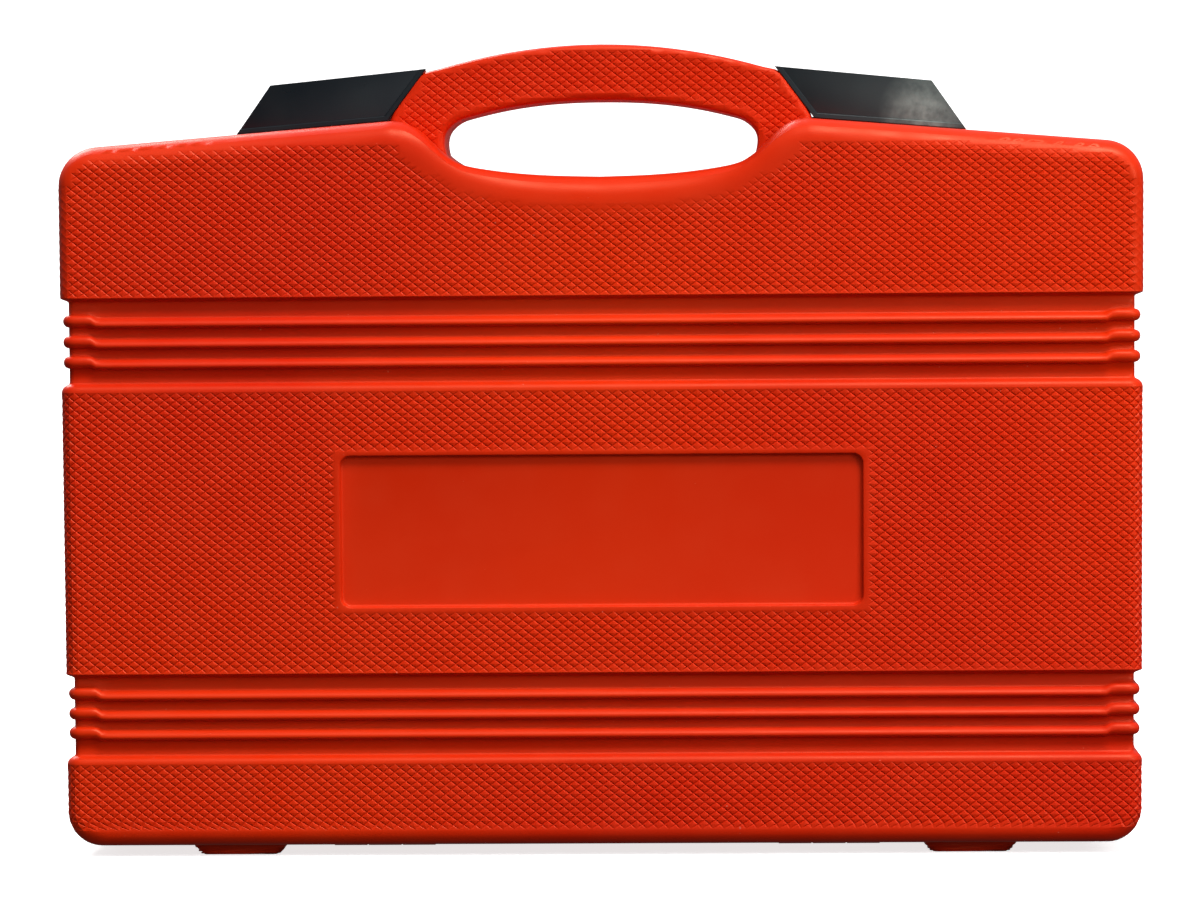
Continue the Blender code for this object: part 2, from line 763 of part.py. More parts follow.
def latch_inside(inner_foot, inner_top):
    """Outline of the hollow under a latch's top plate, open below."""
    foot_x, foot_z = inner_foot
    top_x, top_z = inner_top
    outer_foot_x, outer_foot_z = LATCH_OUTER_FOOT
    outer_top_x, outer_top_z = LATCH_OUTER_TOP
    lean = (top_x - foot_x) / (top_z - foot_z)
    wall = LATCH_WALL * 1.25
    below = 6.0
    inner_low = (foot_x + wall - below * lean, foot_z - below)
    outer_low = (outer_foot_x - wall - below * lean, outer_foot_z - below)
    outer_high = (outer_top_x - wall - LATCH_WALL * lean, outer_top_z - LATCH_WALL)
    inner_high = (top_x + wall - LATCH_WALL * lean, top_z - LATCH_WALL)
    return [inner_low, outer_low, outer_high, inner_high]


def latch_floor(mirror):
    """Everything lower than a latch's bottom edge."""
    foot = Vector(LATCH_INNER_FOOT)
    end = Vector(LATCH_OUTER_FOOT)
    slope = (end.y - foot.y) / (end.x - foot.x)
    outline = [(60.0, 240.0), (140.0, 240.0)]
    outline += [(140.0, foot.y + (140.0 - foot.x) * slope), (60.0, foot.y + (60.0 - foot.x) * slope)]
    return prism([(mirror * x, z) for x, z in outline], -BEYOND, BEYOND)


# ------------------------------------------------------------------- tools


def hollow_socket(solid, base, axis, length, size):
    """Cut the drive square, the middle bore and the hexagon into a socket."""
    direction = Vector(axis)
    start = Vector(base)
    bore = min(6.0, size * 0.425)
    hexagon_start = DRIVE_HOLE_DEPTH + 4.0
    carve(solid, bar(start - direction, axis, DRIVE_HOLE_DEPTH + 1.0, DRIVE_HOLE))
    carve(solid, rod(start + direction * (DRIVE_HOLE_DEPTH - 1.0), axis, 6.0, bore, 12))
    hexagon_length = length - hexagon_start + 1.0
    carve(solid, bar(start + direction * hexagon_start, axis, hexagon_length, size + 0.15, 6))
    return solid


def socket(size, hexagon, drive, length, base, axis):
    """One hexagon socket, its drive end at base."""
    middle = length * 0.5
    edge = 0.8
    profile = [
        (0.0, drive / 2.0 - edge),
        (edge, drive / 2.0),
        (middle, drive / 2.0),
        (middle + 2.0, hexagon / 2.0),
        (length - edge, hexagon / 2.0),
        (length, hexagon / 2.0 - edge),
    ]
    if hexagon == drive:
        profile = profile[:2] + profile[4:]
    solid = turned(profile, base, axis, 18)
    return hollow_socket(solid, base, axis, length, size)


def make_sockets():
    """All the sockets, lying on their sides in two rows."""
    for size, hexagon, drive, length, x, z in socket_places():
        base = (x, TRAY_Y, z)
        finish(socket(size, hexagon, drive, length, base, (0, 0, 1)), f"socket_{size}", "chrome", base)
    for size, diameter, length, x in SPARK_PLUG_SOCKETS:
        base = (x, TRAY_Y, SPARK_PLUG_ROW_Z)
        solid = socket(size, diameter, diameter, length, base, (1, 0, 0))
        finish(solid, f"spark_plug_socket_{size}", "chrome", base)


def ball_hole(centre, outward):
    """Blind hole for a retaining ball, from inside the drive to beyond its side."""
    start = Vector(centre) - Vector(outward) * (BALL_RADIUS + 0.5)
    return rod(start, outward, 8.0, BALL_HOLE_RADIUS, 10)


def make_extensions():
    """The two extension bars and their retaining balls."""
    for length, x, z in EXTENSIONS:
        shaft_end = length - DRIVE_LENGTH
        profile = [
            (0.0, EXTENSION_END_RADIUS - 0.8),
            (0.8, EXTENSION_END_RADIUS),
            (EXTENSION_END_LENGTH - 4.0, EXTENSION_END_RADIUS),
            (EXTENSION_END_LENGTH, EXTENSION_SHAFT_RADIUS),
            (shaft_end - 8.0, EXTENSION_SHAFT_RADIUS),
            (shaft_end - 5.0, 9.2),
            (shaft_end, 9.2),
        ]
        base = (x, TRAY_Y, z)
        solid = turned(profile, base, (1, 0, 0), 18)
        merge(solid, bar((x + shaft_end - 4.0, TRAY_Y, z), (1, 0, 0), DRIVE_LENGTH + 4.0, DRIVE))
        carve(solid, bar((x - 1.0, TRAY_Y, z), (1, 0, 0), DRIVE_HOLE_DEPTH + 2.0, DRIVE_HOLE))
        ball_centre = (x + length - BALL_FROM_END, TRAY_Y, z + BALL_OFFSET)
        carve(solid, ball_hole(ball_centre, (0, 0, 1)))
        made = finish(solid, f"extension_bar_{length}", "chrome", base)
        ball = sphere(ball_centre, BALL_RADIUS, "ball")
        finish(ball, f"extension_{length}_ball", "steel", ball_centre, made)


def yoke(direction, ear_axis, far_end):
    """A joint fork: a round body from far_end to the slot, and two ears."""
    pivot = Vector(JOINT_PIVOT)
    along = Vector(direction)
    across = Vector(ear_axis)
    side = along.cross(across)
    body = rod(pivot - along * JOINT_EAR_HALF, direction, far_end + JOINT_EAR_HALF, JOINT_RADIUS, 24)
    reach = 20.0
    slot_low = pivot - along * 10.0 - across * JOINT_EAR_INNER - side * reach
    slot_high = pivot + along * JOINT_SLOT + across * JOINT_EAR_INNER + side * reach
    low = [min(a, b) for a, b in zip(slot_low, slot_high)]
    high = [max(a, b) for a, b in zip(slot_low, slot_high)]
    carve(body, block(low, high))
    for sign in (-1.0, 1.0):
        edge_low = pivot - along * 10.0 - across * reach + side * sign * JOINT_EAR_HALF
        edge_high = pivot + along * JOINT_SLOT + across * reach + side * sign * reach
        low = [min(a, b) for a, b in zip(edge_low, edge_high)]
        high = [max(a, b) for a, b in zip(edge_low, edge_high)]
        carve(body, block(low, high))
    ears = rod(pivot - across * reach, ear_axis, 2.0 * reach, JOINT_EAR_HALF, 16)
    low_end = pivot + side * reach + across * reach
    high_end = pivot - side * reach - across * reach + along * (far_end + 1.0)
    low = [min(a, b) for a, b in zip(low_end, high_end)]
    high = [max(a, b) for a, b in zip(low_end, high_end)]
    merge(ears, block(low, high))
    combine(body, ears, "INTERSECT")
    return body


def joint_pin(axis, start, end):
    """A round pin of the universal joint, along axis from its pivot."""
    base = Vector(JOINT_PIVOT) + Vector(axis) * start
    return rod(base, axis, end - start, JOINT_PIN_RADIUS, 12)


def pin_bore(axis, start, end):
    """The hole round a joint pin."""
    base = Vector(JOINT_PIVOT) + Vector(axis) * start
    return rod(base, axis, end - start, JOINT_PIN_RADIUS + GAP, 12)


def make_universal_joint():
    """Socket yoke, cross block, pins and drive yoke."""
    pivot = Vector(JOINT_PIVOT)
    socket_yoke = yoke((-1, 0, 0), (0, 0, 1), JOINT_SOCKET_END)
    hole_start = pivot - Vector((JOINT_SOCKET_END + 1.0, 0.0, 0.0))
    carve(socket_yoke, bar(hole_start, (1, 0, 0), DRIVE_HOLE_DEPTH + 1.0, DRIVE_HOLE))
    carve(socket_yoke, pin_bore((0, 0, 1), -20.0, 20.0))
    finish(socket_yoke, "joint_socket_yoke", "chrome", JOINT_PIVOT)
    half = JOINT_EAR_INNER - GAP
    cross = block(pivot - Vector((half, half, half)), pivot + Vector((half, half, half)))
    carve(cross, pin_bore((0, 0, 1), -20.0, 20.0), pin_bore((0, 1, 0), -20.0, 20.0))
    cross = finish(cross, "joint_cross", "steel", JOINT_PIVOT)
    end = JOINT_RADIUS - 0.6
    finish(joint_pin((0, 0, 1), -end, end), "joint_long_pin", "steel", JOINT_PIVOT, cross)
    inner = JOINT_PIN_RADIUS + GAP + 0.1
    for name, sign in (("front", -1.0), ("rear", 1.0)):
        pin = joint_pin((0, sign, 0), inner, end)
        finish(pin, f"joint_short_pin_{name}", "steel", JOINT_PIVOT, cross)
    drive_yoke = yoke((1, 0, 0), (0, 1, 0), JOINT_YOKE_END)
    square_start = pivot + Vector((JOINT_YOKE_END - 4.0, 0.0, 0.0))
    merge(drive_yoke, bar(square_start, (1, 0, 0), JOINT_DRIVE_END - JOINT_YOKE_END + 4.0, DRIVE))
    carve(drive_yoke, pin_bore((0, 1, 0), -20.0, 20.0))
    ball_centre = pivot + Vector((JOINT_DRIVE_END - BALL_FROM_END, 0.0, BALL_OFFSET))
    carve(drive_yoke, ball_hole(ball_centre, (0, 0, 1)))
    drive_yoke = finish(drive_yoke, "joint_drive_yoke", "chrome", JOINT_PIVOT, cross)
    ball = sphere(ball_centre, BALL_RADIUS, "ball")
    finish(ball, "joint_ball", "steel", ball_centre)


def make_t_handle():
    """The sliding bar, its head, its stop balls and the retaining ball."""
    rod_profile = [
        (0.0, BAR_RADIUS - 0.8),
        (0.8, BAR_RADIUS),
        (2.0 * BAR_HALF_LENGTH - 0.8, BAR_RADIUS),
        (2.0 * BAR_HALF_LENGTH, BAR_RADIUS - 0.8),
    ]
    start = (-BAR_HALF_LENGTH, TRAY_Y, BAR_Z)
    slide = turned(rod_profile, start, (1, 0, 0), 18)
    stops = []
    for side, name in ((-1.0, "left"), (1.0, "right")):
        centre = (side * STOP_BALL_X, TRAY_Y - BAR_RADIUS + 0.9, BAR_Z)
        hole_start = (centre[0], centre[1] + STOP_BALL_RADIUS + 0.4, BAR_Z)
        carve(slide, rod(hole_start, (0, -1, 0), 8.0, STOP_BALL_RADIUS + GAP, 10))
        stops.append((name, centre))
    finish(slide, "t_handle_bar", "chrome", start)
    for name, centre in stops:
        stop = sphere(centre, STOP_BALL_RADIUS, "ball")
        finish(stop, f"t_handle_stop_{name}", "steel", centre)
    low, high = BAR_HEAD_Y
    pivot = (0.0, TRAY_Y, BAR_Z)
    profile = [
        (0.0, BAR_HEAD_RADIUS - 0.8),
        (0.8, BAR_HEAD_RADIUS),
        (high - low - 0.8, BAR_HEAD_RADIUS),
        (high - low, BAR_HEAD_RADIUS - 0.8),
    ]
    head = turned(profile, (0.0, low, BAR_Z), (0, 1, 0), 20)
    merge(head, bar((0.0, high - 2.0, BAR_Z), (0, 1, 0), BAR_DRIVE_END_Y - high + 2.0, DRIVE))
    carve(head, rod((-20.0, TRAY_Y, BAR_Z), (1, 0, 0), 40.0, BAR_RADIUS + 0.35, 18))
    ball_centre = (0.0, BAR_DRIVE_END_Y - BALL_FROM_END, BAR_Z + BALL_OFFSET)
    carve(head, ball_hole(ball_centre, (0, 0, 1)))
    head = finish(head, "t_handle_head", "chrome", pivot)
    ball = sphere(ball_centre, BALL_RADIUS, "ball")
    finish(ball, "t_handle_ball", "steel", ball_centre, head)


# ----------------------------------------------------------------- ratchet


def head_outline(shrink):
    """Outline of the ratchet's head: a large circle run into a smaller one."""
    big = HEAD_RADIUS - shrink
    small = NECK_RADIUS - shrink
    tilt = math.acos((HEAD_RADIUS - NECK_RADIUS) / NECK_X)
    points = []
    steps = 14
    for step in range(steps + 1):
        angle = tilt + (math.tau - 2.0 * tilt) * step / steps
        points.append((big * math.cos(angle), big * math.sin(angle)))
    steps = 6
    for step in range(steps + 1):
        angle = -tilt + 2.0 * tilt * step / steps
        points.append((NECK_X + small * math.cos(angle), small * math.sin(angle)))
    return [(RATCHET_X + x, RATCHET_Z + z) for x, z in points]


def at_ratchet(x, y, z=0.0):
    """A point given from the ratchet's drive axis."""
    return (RATCHET_X + x, y, RATCHET_Z + z)


def ratchet_body():
    """Forged head with the gear and pawl pockets, shank and grip core."""
    middle = sum(HEAD_Y) / 2.0
    body = prism(head_outline(0.0), *HEAD_Y)
    profile = [
        (0.0, SHANK_RADIUS + 1.5),
        (14.0, SHANK_RADIUS),
        (GRIP_X[0] - 1.0 - SHANK_X, SHANK_RADIUS),
        (GRIP_X[0] + 0.5 - SHANK_X, CORE_RADIUS),
        (GRIP_X[1] - 8.0 - SHANK_X, CORE_RADIUS),
    ]
    merge(body, turned(profile, at_ratchet(SHANK_X, middle), (1, 0, 0), 18))
    start = HEAD_Y[0] - 1.0
    depth = FLOOR_Y - start
    carve(body, rod(at_ratchet(0.0, start), (0, 1, 0), depth, GEAR_BORE, 28))
    carve(body, rod(at_ratchet(PAWL_POCKET_X, start), (0, 1, 0), depth, PAWL_POCKET_RADIUS, 20))
    carve(body, rod(at_ratchet(0.0, 10.0), (0, 1, 0), 20.0, NECK_BORE_RADIUS, 24))
    for x, z in SCREWS:
        carve(body, rod(at_ratchet(x, start, z), (0, 1, 0), 10.0, SCREW_BORE_RADIUS, 10))
    return body


def ratchet_grip():
    """Rubber sleeve over the shank's core, closed at its end."""
    middle = sum(HEAD_Y) / 2.0
    length = GRIP_X[1] - GRIP_X[0]
    profile = [
        (0.0, 9.5),
        (3.0, 11.0),
        (30.0, 12.0),
        (length * 0.7, GRIP_RADIUS),
        (length - 4.0, GRIP_RADIUS - 0.6),
        (length, GRIP_RADIUS - 3.5),
    ]
    grip = turned(profile, at_ratchet(GRIP_X[0] + 0.8, middle), (1, 0, 0), 20)
    bore_start = at_ratchet(GRIP_X[0] - 1.0, middle)
    carve(grip, rod(bore_start, (1, 0, 0), length - 6.0, CORE_RADIUS + GAP + 0.05, 16))
    return grip


def gear_outline():
    """Toothed outline of the ratchet's drive gear."""
    points = []
    for tooth in range(GEAR_TEETH):
        angle = math.tau * tooth / GEAR_TEETH
        half_pitch = math.pi / GEAR_TEETH
        points.append((GEAR_TIP * math.cos(angle), GEAR_TIP * math.sin(angle)))
        valley = angle + half_pitch
        points.append((GEAR_ROOT * math.cos(valley), GEAR_ROOT * math.sin(valley)))
    return [(RATCHET_X + x, RATCHET_Z + z) for x, z in points]


def drive_gear():
    """Toothed drive with its hub, neck and square, bored for the release button."""
    gear = prism(gear_outline(), -1.7, 14.2)
    merge(gear, rod(at_ratchet(0.0, -4.6), (0, 1, 0), 4.6, HUB_RADIUS, 20))
    merge(gear, rod(at_ratchet(0.0, 13.0), (0, 1, 0), 8.5, 10.0, 24))
    merge(gear, bar(at_ratchet(0.0, 20.0), (0, 1, 0), 16.0, DRIVE))
    carve(gear, rod(at_ratchet(0.0, -6.0), (0, 1, 0), 39.0, BUTTON_BORE_RADIUS, 14))
    carve(gear, rod(at_ratchet(0.0, -6.0), (0, 1, 0), 4.6, 5.1, 16))
    carve(gear, rod(at_ratchet(0.0, RATCHET_BALL_Y), (0, 0, 1), 10.0, BALL_HOLE_RADIUS, 10))
    return gear


def ratchet_pawl():
    """Pawl with a tooth at each end of its face, on the lever's shaft."""
    face = [(14.4, -5.6), (14.9, 0.0), (14.4, 5.6)]
    back = [(18.0, 7.0), (24.0, 5.5), (26.3, 0.0), (24.0, -5.5), (18.0, -7.0)]
    outline = [(RATCHET_X + x, RATCHET_Z + z) for x, z in face + back]
    pawl = prism(outline, -1.5, 14.2)
    carve(pawl, rod(at_ratchet(PAWL_X, -5.0), (0, 1, 0), 25.0, PAWL_BORE_RADIUS, 14))
    return pawl


def reversing_lever():
    """Thumb lever on the cover, with the shaft that carries the pawl."""
    outline = []
    for step in range(9):
        angle = math.radians(60.0 + 240.0 * step / 8.0)
        outline.append((PAWL_X + 6.0 * math.cos(angle), 6.0 * math.sin(angle)))
    for step in range(5):
        angle = math.radians(-80.0 + 160.0 * step / 4.0)
        outline.append((34.0 + 3.2 * math.cos(angle), 3.2 * math.sin(angle)))
    outline = [(RATCHET_X + x, RATCHET_Z + z) for x, z in outline]
    lever = prism(outline, -8.4, -5.1)
    merge(lever, rod(at_ratchet(PAWL_X, -6.5), (0, 1, 0), 19.5, 2.65, 14))
    return lever


def cover_plate():
    """Plate that closes the head, with holes for the hub, shaft and screws."""
    plate = prism(head_outline(0.6), *COVER_Y)
    carve(plate, rod(at_ratchet(0.0, -8.0), (0, 1, 0), 10.0, HUB_RADIUS + 0.5, 20))
    carve(plate, rod(at_ratchet(PAWL_X, -8.0), (0, 1, 0), 10.0, PAWL_BORE_RADIUS, 14))
    for x, z in SCREWS:
        carve(plate, rod(at_ratchet(x, -8.0, z), (0, 1, 0), 10.0, SCREW_BORE_RADIUS, 10))
        carve(plate, rod(at_ratchet(x, -8.0, z), (0, 1, 0), 4.8, 2.35, 12))
    return plate


def make_ratchet():
    """The reversible ratchet, lying with its drive square towards the base."""
    drive_axis = at_ratchet(0.0, 0.0)
    lever_axis = at_ratchet(PAWL_X, 0.0)
    body = finish(ratchet_body(), "ratchet_body", "chrome", drive_axis)
    finish(ratchet_grip(), "ratchet_grip", "grip_rubber", drive_axis, body)
    finish(cover_plate(), "ratchet_cover", "chrome", drive_axis, body)
    gear = finish(drive_gear(), "ratchet_drive_gear", "steel", drive_axis)
    finish(ratchet_pawl(), "ratchet_pawl", "steel", lever_axis)
    finish(reversing_lever(), "ratchet_reversing_lever", "chrome", lever_axis)
    profile = [(0.0, 3.8), (0.8, 4.6), (3.5, 4.6), (3.5001, 2.9), (31.2, 2.9)]
    button = turned(profile, at_ratchet(0.0, -7.2), (0, 1, 0), 16)
    finish(button, "ratchet_release_button", "steel", drive_axis)
    ball_centre = at_ratchet(0.0, RATCHET_BALL_Y, BALL_OFFSET)
    finish(sphere(ball_centre, BALL_RADIUS, "ball"), "ratchet_ball", "steel", ball_centre, gear)
    for number, (x, z) in enumerate(SCREWS, start=1):
        profile = [(0.0, 2.0), (0.8, 2.0), (1.2, 1.2), (10.5, 1.2)]
        screw = turned(profile, at_ratchet(x, -4.6, z), (0, 1, 0), 12)
        finish(screw, f"ratchet_screw_{number}", "steel", at_ratchet(x, 0.0, z), body)


# ---------------------------------------------------------------- assembly


def make_case():
    """Both halves, the hinge pins, and the latches with their pins."""
    hinge = (0.0, 0.0, HINGE_Z)
    finish(shell(1), "base_shell", "case_plastic", hinge)
    finish(shell(-1), "lid_shell", "case_plastic", hinge)
    finish(tool_tray(), "tool_tray", "tray_plastic", (0.0, TRAY_Y, 0.0))
    for name, sign in (("left", -1.0), ("right", 1.0)):
        centre = sign * HINGE_X
        pin_start = (centre - HINGE_PIN_LENGTH / 2.0, 0.0, HINGE_Z)
        pin = rod(pin_start, (1, 0, 0), HINGE_PIN_LENGTH, HINGE_PIN_RADIUS, 14)
        finish(pin, f"hinge_pin_{name}", "steel", (centre, 0.0, HINGE_Z))
        pivot = latch_pivot(sign)
        finish(latch(sign), f"latch_{name}", "latch_plastic", pivot)
        latch_pin = latch_rod(sign, LATCH_PIN_LENGTH, LATCH_PIN_SHIFT, LATCH_PIN_RADIUS)
        finish(latch_pin, f"latch_pin_{name}", "steel", pivot)


def main():
    """Clear the scene and build the set."""
    for leftover in list(bpy.data.objects):
        bpy.data.objects.remove(leftover)
    make_case()
    make_sockets()
    make_extensions()
    make_universal_joint()
    make_t_handle()
    make_ratchet()


main()
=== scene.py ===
"""Looks of the socket wrench set in its case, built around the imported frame."""

import json
import math

import bmesh
import bpy
import numpy as np
from mathutils import Matrix, Vector
from mathutils.bvhtree import BVHTree
from mathutils.geometry import delaunay_2d_cdt


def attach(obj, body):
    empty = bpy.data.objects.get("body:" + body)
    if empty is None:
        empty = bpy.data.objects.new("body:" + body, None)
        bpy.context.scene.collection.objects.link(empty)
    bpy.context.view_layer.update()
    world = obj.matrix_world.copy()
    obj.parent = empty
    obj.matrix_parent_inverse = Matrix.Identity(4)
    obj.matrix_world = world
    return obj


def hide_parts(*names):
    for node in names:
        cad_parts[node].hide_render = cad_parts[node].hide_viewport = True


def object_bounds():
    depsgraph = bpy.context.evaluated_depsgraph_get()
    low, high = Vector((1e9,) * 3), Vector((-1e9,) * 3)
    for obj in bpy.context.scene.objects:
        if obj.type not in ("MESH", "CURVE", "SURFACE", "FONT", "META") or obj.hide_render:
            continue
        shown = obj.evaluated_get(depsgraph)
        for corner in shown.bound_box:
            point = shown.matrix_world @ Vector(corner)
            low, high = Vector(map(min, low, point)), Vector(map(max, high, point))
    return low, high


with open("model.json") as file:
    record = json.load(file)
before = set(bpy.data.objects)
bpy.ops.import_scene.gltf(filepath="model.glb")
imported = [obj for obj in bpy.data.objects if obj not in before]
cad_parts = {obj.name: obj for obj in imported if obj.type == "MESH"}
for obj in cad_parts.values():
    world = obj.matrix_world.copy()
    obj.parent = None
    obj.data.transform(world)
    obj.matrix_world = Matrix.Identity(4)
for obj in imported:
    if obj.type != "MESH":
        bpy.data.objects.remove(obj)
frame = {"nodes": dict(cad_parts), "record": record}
cad_low, cad_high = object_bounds()
MM = 0.001

# Case body, in millimetres
HALF_WIDTH = cad_high.x / MM
HALF_DEPTH = cad_high.y / MM
FLOOR_Z = 4.0
PARTING = 0.2
EDGE = 5.0  # radius along the front edges
BOTTOM_ROUND = 12.5
TOP_CENTRE = (181.0, 242.1)
TAPER = 0.008  # narrower at the bottom than at the top
TOP_ROUND = 14.0
SHOULDER_ANGLE = math.radians(85.04)  # direction of the shoulder's normal
LOWER_GROOVE = (35.8, 65.6)
UPPER_GROOVE = (169.9, 201.1)
LOWER_RIBS = (44.6, 51.6, 58.8)
UPPER_RIBS = (178.3, 185.6, 193.1)
LABEL_HALF = 94.3
LABEL_Z = (89.8, 144.3)
LABEL_ROUND = 3.6
LABEL_ROOM = 0.45  # between the label's outline and the diamonds
LABEL_NEAR = 8.0  # cells closer than this border the label's rim
LABEL_RINGS = (  # growth of the outline and depth, from the rim down to the floor
    (0.35, 0.0),
    (0.15, 0.08),
    (0.0, 0.35),
    (-0.12, 0.9),
    (-0.25, 1.5),
    (-0.6, 1.9),
    (-1.2, 2.0),
)
HINGE_X = 82.0
KNUCKLE_SPACING = 12.6
KNUCKLE_GAP = 6.4  # half the width of the opening round a knuckle
KNUCKLE_GAP_Y = -4.1  # where that opening ends at the front
FEET_X = (-133.0, 133.0)
FOOT_Y = 24.0
FOOT_RINGS = (  # height, half length, half depth and corner radius, from the top down
    (5.0, 17.9, 8.0, 2.5),
    (3.9, 17.5, 7.9, 2.5),
    (2.6, 16.4, 7.8, 2.6),
    (1.2, 15.4, 7.6, 2.6),
    (0.4, 14.6, 7.1, 2.4),
    (0.0, 13.4, 6.2, 2.0),
)
SHOULDER_GROWTH = 3.6  # how much wider the shoulders' rounding is than the sides'
SHOULDER_FLATTER = 0.4  # and how much less than that it goes back
CREST_END = (75.0, 264.7)  # inner end of the straight shoulder, on its crest
FRONT_END = (76.0, 255.4)  # and where its rounding starts on the front

# Diamond texture
FRONT_HALF = HALF_WIDTH - EDGE
EDGE_ARC = EDGE * math.pi / 2.0
SIDE_DEPTH = HALF_DEPTH - EDGE - PARTING
FRONT_COLUMNS = 93
EDGE_COLUMNS = 4
SIDE_COLUMNS = 18
ROW_STEP = 1.55
DIAMOND_DEPTH = 0.46
PLATEAU = 0.68  # where a diamond's top ends, from its centre to its border
PLATEAU_DROP = 0.3
TEXTURE_FADE = 7.0  # how far from the rounded top edge the texture is fully deep
CUT = math.sin(math.radians(45.0))  # share of a rounded edge that its front fill covers
TEXTURED = 0.56  # share of it that the texture reaches
ALMOST = 0.98  # largest share at which a rounded edge is still placed
SHOULDER_TEXTURE = (64.0, 14.0)  # where it starts to climb the edge, and over what width

right_columns = [FRONT_HALF * k / FRONT_COLUMNS for k in range(FRONT_COLUMNS + 1)]
right_columns += [FRONT_HALF + EDGE_ARC * k / EDGE_COLUMNS for k in range(1, EDGE_COLUMNS + 1)]
side_start = FRONT_HALF + EDGE_ARC
right_columns += [side_start + SIDE_DEPTH * k / SIDE_COLUMNS for k in range(1, SIDE_COLUMNS + 1)]
COLUMNS = np.array([-u for u in reversed(right_columns[1:])] + right_columns)
MIDDLE = len(right_columns) - 1
FRONT_FIRST = MIDDLE - FRONT_COLUMNS
FRONT_LAST = MIDDLE + FRONT_COLUMNS


# ----- surfaces


def object_from(mesh, name):
    """An object in the scene with the mesh's shape; frees the mesh."""
    data = bpy.data.meshes.new(name)
    mesh.to_mesh(data)
    mesh.free()
    made = bpy.data.objects.new(name, data)
    bpy.context.scene.collection.objects.link(made)
    return made


class Surface:
    """Points in millimetres and faces of one piece, made for the front half."""

    def __init__(self):
        self.points = []
        self.faces = []
        self.smooth = []

    def add(self, points, faces, smooth=True):
        """Add points and the faces between them."""
        start = len(self.points)
        self.points.extend(tuple(point) for point in points)
        self.faces.extend(tuple(start + k for k in face) for face in faces)
        self.smooth.extend([smooth] * len(faces))

    def grid(self, rows, flip=False):
        """Add the faces between rows of equally many points."""
        count = len(rows[0])
        faces = []
        for row in range(len(rows) - 1):
            for k in range(count - 1):
                low = row * count + k
                face = (low, low + 1, low + count + 1, low + count)
                faces.append(tuple(reversed(face)) if flip else face)
        self.add([point for row in rows for point in row], faces)

    def piece(self, name, side):
        """The welded mesh as an object; side 1 turns it into the rear half."""
        mesh = bmesh.new()
        made = []
        for x, y, z in self.points:
            made.append(mesh.verts.new((tapered(x, z) * MM, -side * y * MM, z * MM)))
        for face, smooth in zip(self.faces, self.smooth):
            ordered = face if side < 0 else tuple(reversed(face))
            mesh.faces.new([made[k] for k in ordered]).smooth = smooth
        bmesh.ops.remove_doubles(mesh, verts=mesh.verts, dist=0.00002)
        loose = [vert for vert in mesh.verts if not vert.link_faces]
        bmesh.ops.delete(mesh, geom=loose, context="VERTS")
        return object_from(mesh, name)


def tapered(x, z):
    """X drawn in a little towards the bottom, as the moulded case narrows."""
    return x * (1.0 - TAPER * max(0.0, 1.0 - z / TOP_CENTRE[1]))


def half_width(z, inset):
    """Half width of the body at height z, inset by some depth."""
    rise = np.clip(FLOOR_Z + BOTTOM_ROUND - z, 0.0, None)
    radius = BOTTOM_ROUND - inset
    narrowed = HALF_WIDTH - BOTTOM_ROUND + np.sqrt(np.clip(radius**2 - rise**2, 0.0, None))
    return np.where(rise > 0.0, narrowed, HALF_WIDTH - inset)


def body_point(u, z, sunk):
    """Points of the body at distance u round from the middle, sunk along the normal."""
    u, z, sunk = np.broadcast_arrays(*(np.asarray(values, float) for values in (u, z, sunk)))
    reach = np.abs(u)
    rolled = np.clip(z - FLOOR_Z, 0.0, EDGE)
    start = np.arcsin(1.0 - rolled / EDGE)
    share = np.clip((reach - FRONT_HALF) / EDGE_ARC, 0.0, 1.0)
    angle = start + (math.pi / 2.0 - start) * share
    inset = EDGE * (1.0 - np.sin(angle))
    across = half_width(z, inset) - sunk * np.sin(angle)
    front = reach <= FRONT_HALF
    x = np.where(front, reach / FRONT_HALF * half_width(z, rolled), across)
    y = -(HALF_DEPTH - EDGE) - EDGE * np.cos(angle) + sunk * np.cos(angle)
    back = np.clip(reach - FRONT_HALF - EDGE_ARC, 0.0, None)
    y = np.where(front, -(HALF_DEPTH - EDGE) - EDGE * np.cos(start) + sunk, y + back)
    return np.stack([np.where(u < 0.0, -x, x), y, z], -1)


def whole_cells(corners):
    """True for each lattice cell whose four corners are all true."""
    return corners[:-1, :-1] & corners[1:, :-1] & corners[:-1, 1:] & corners[1:, 1:]


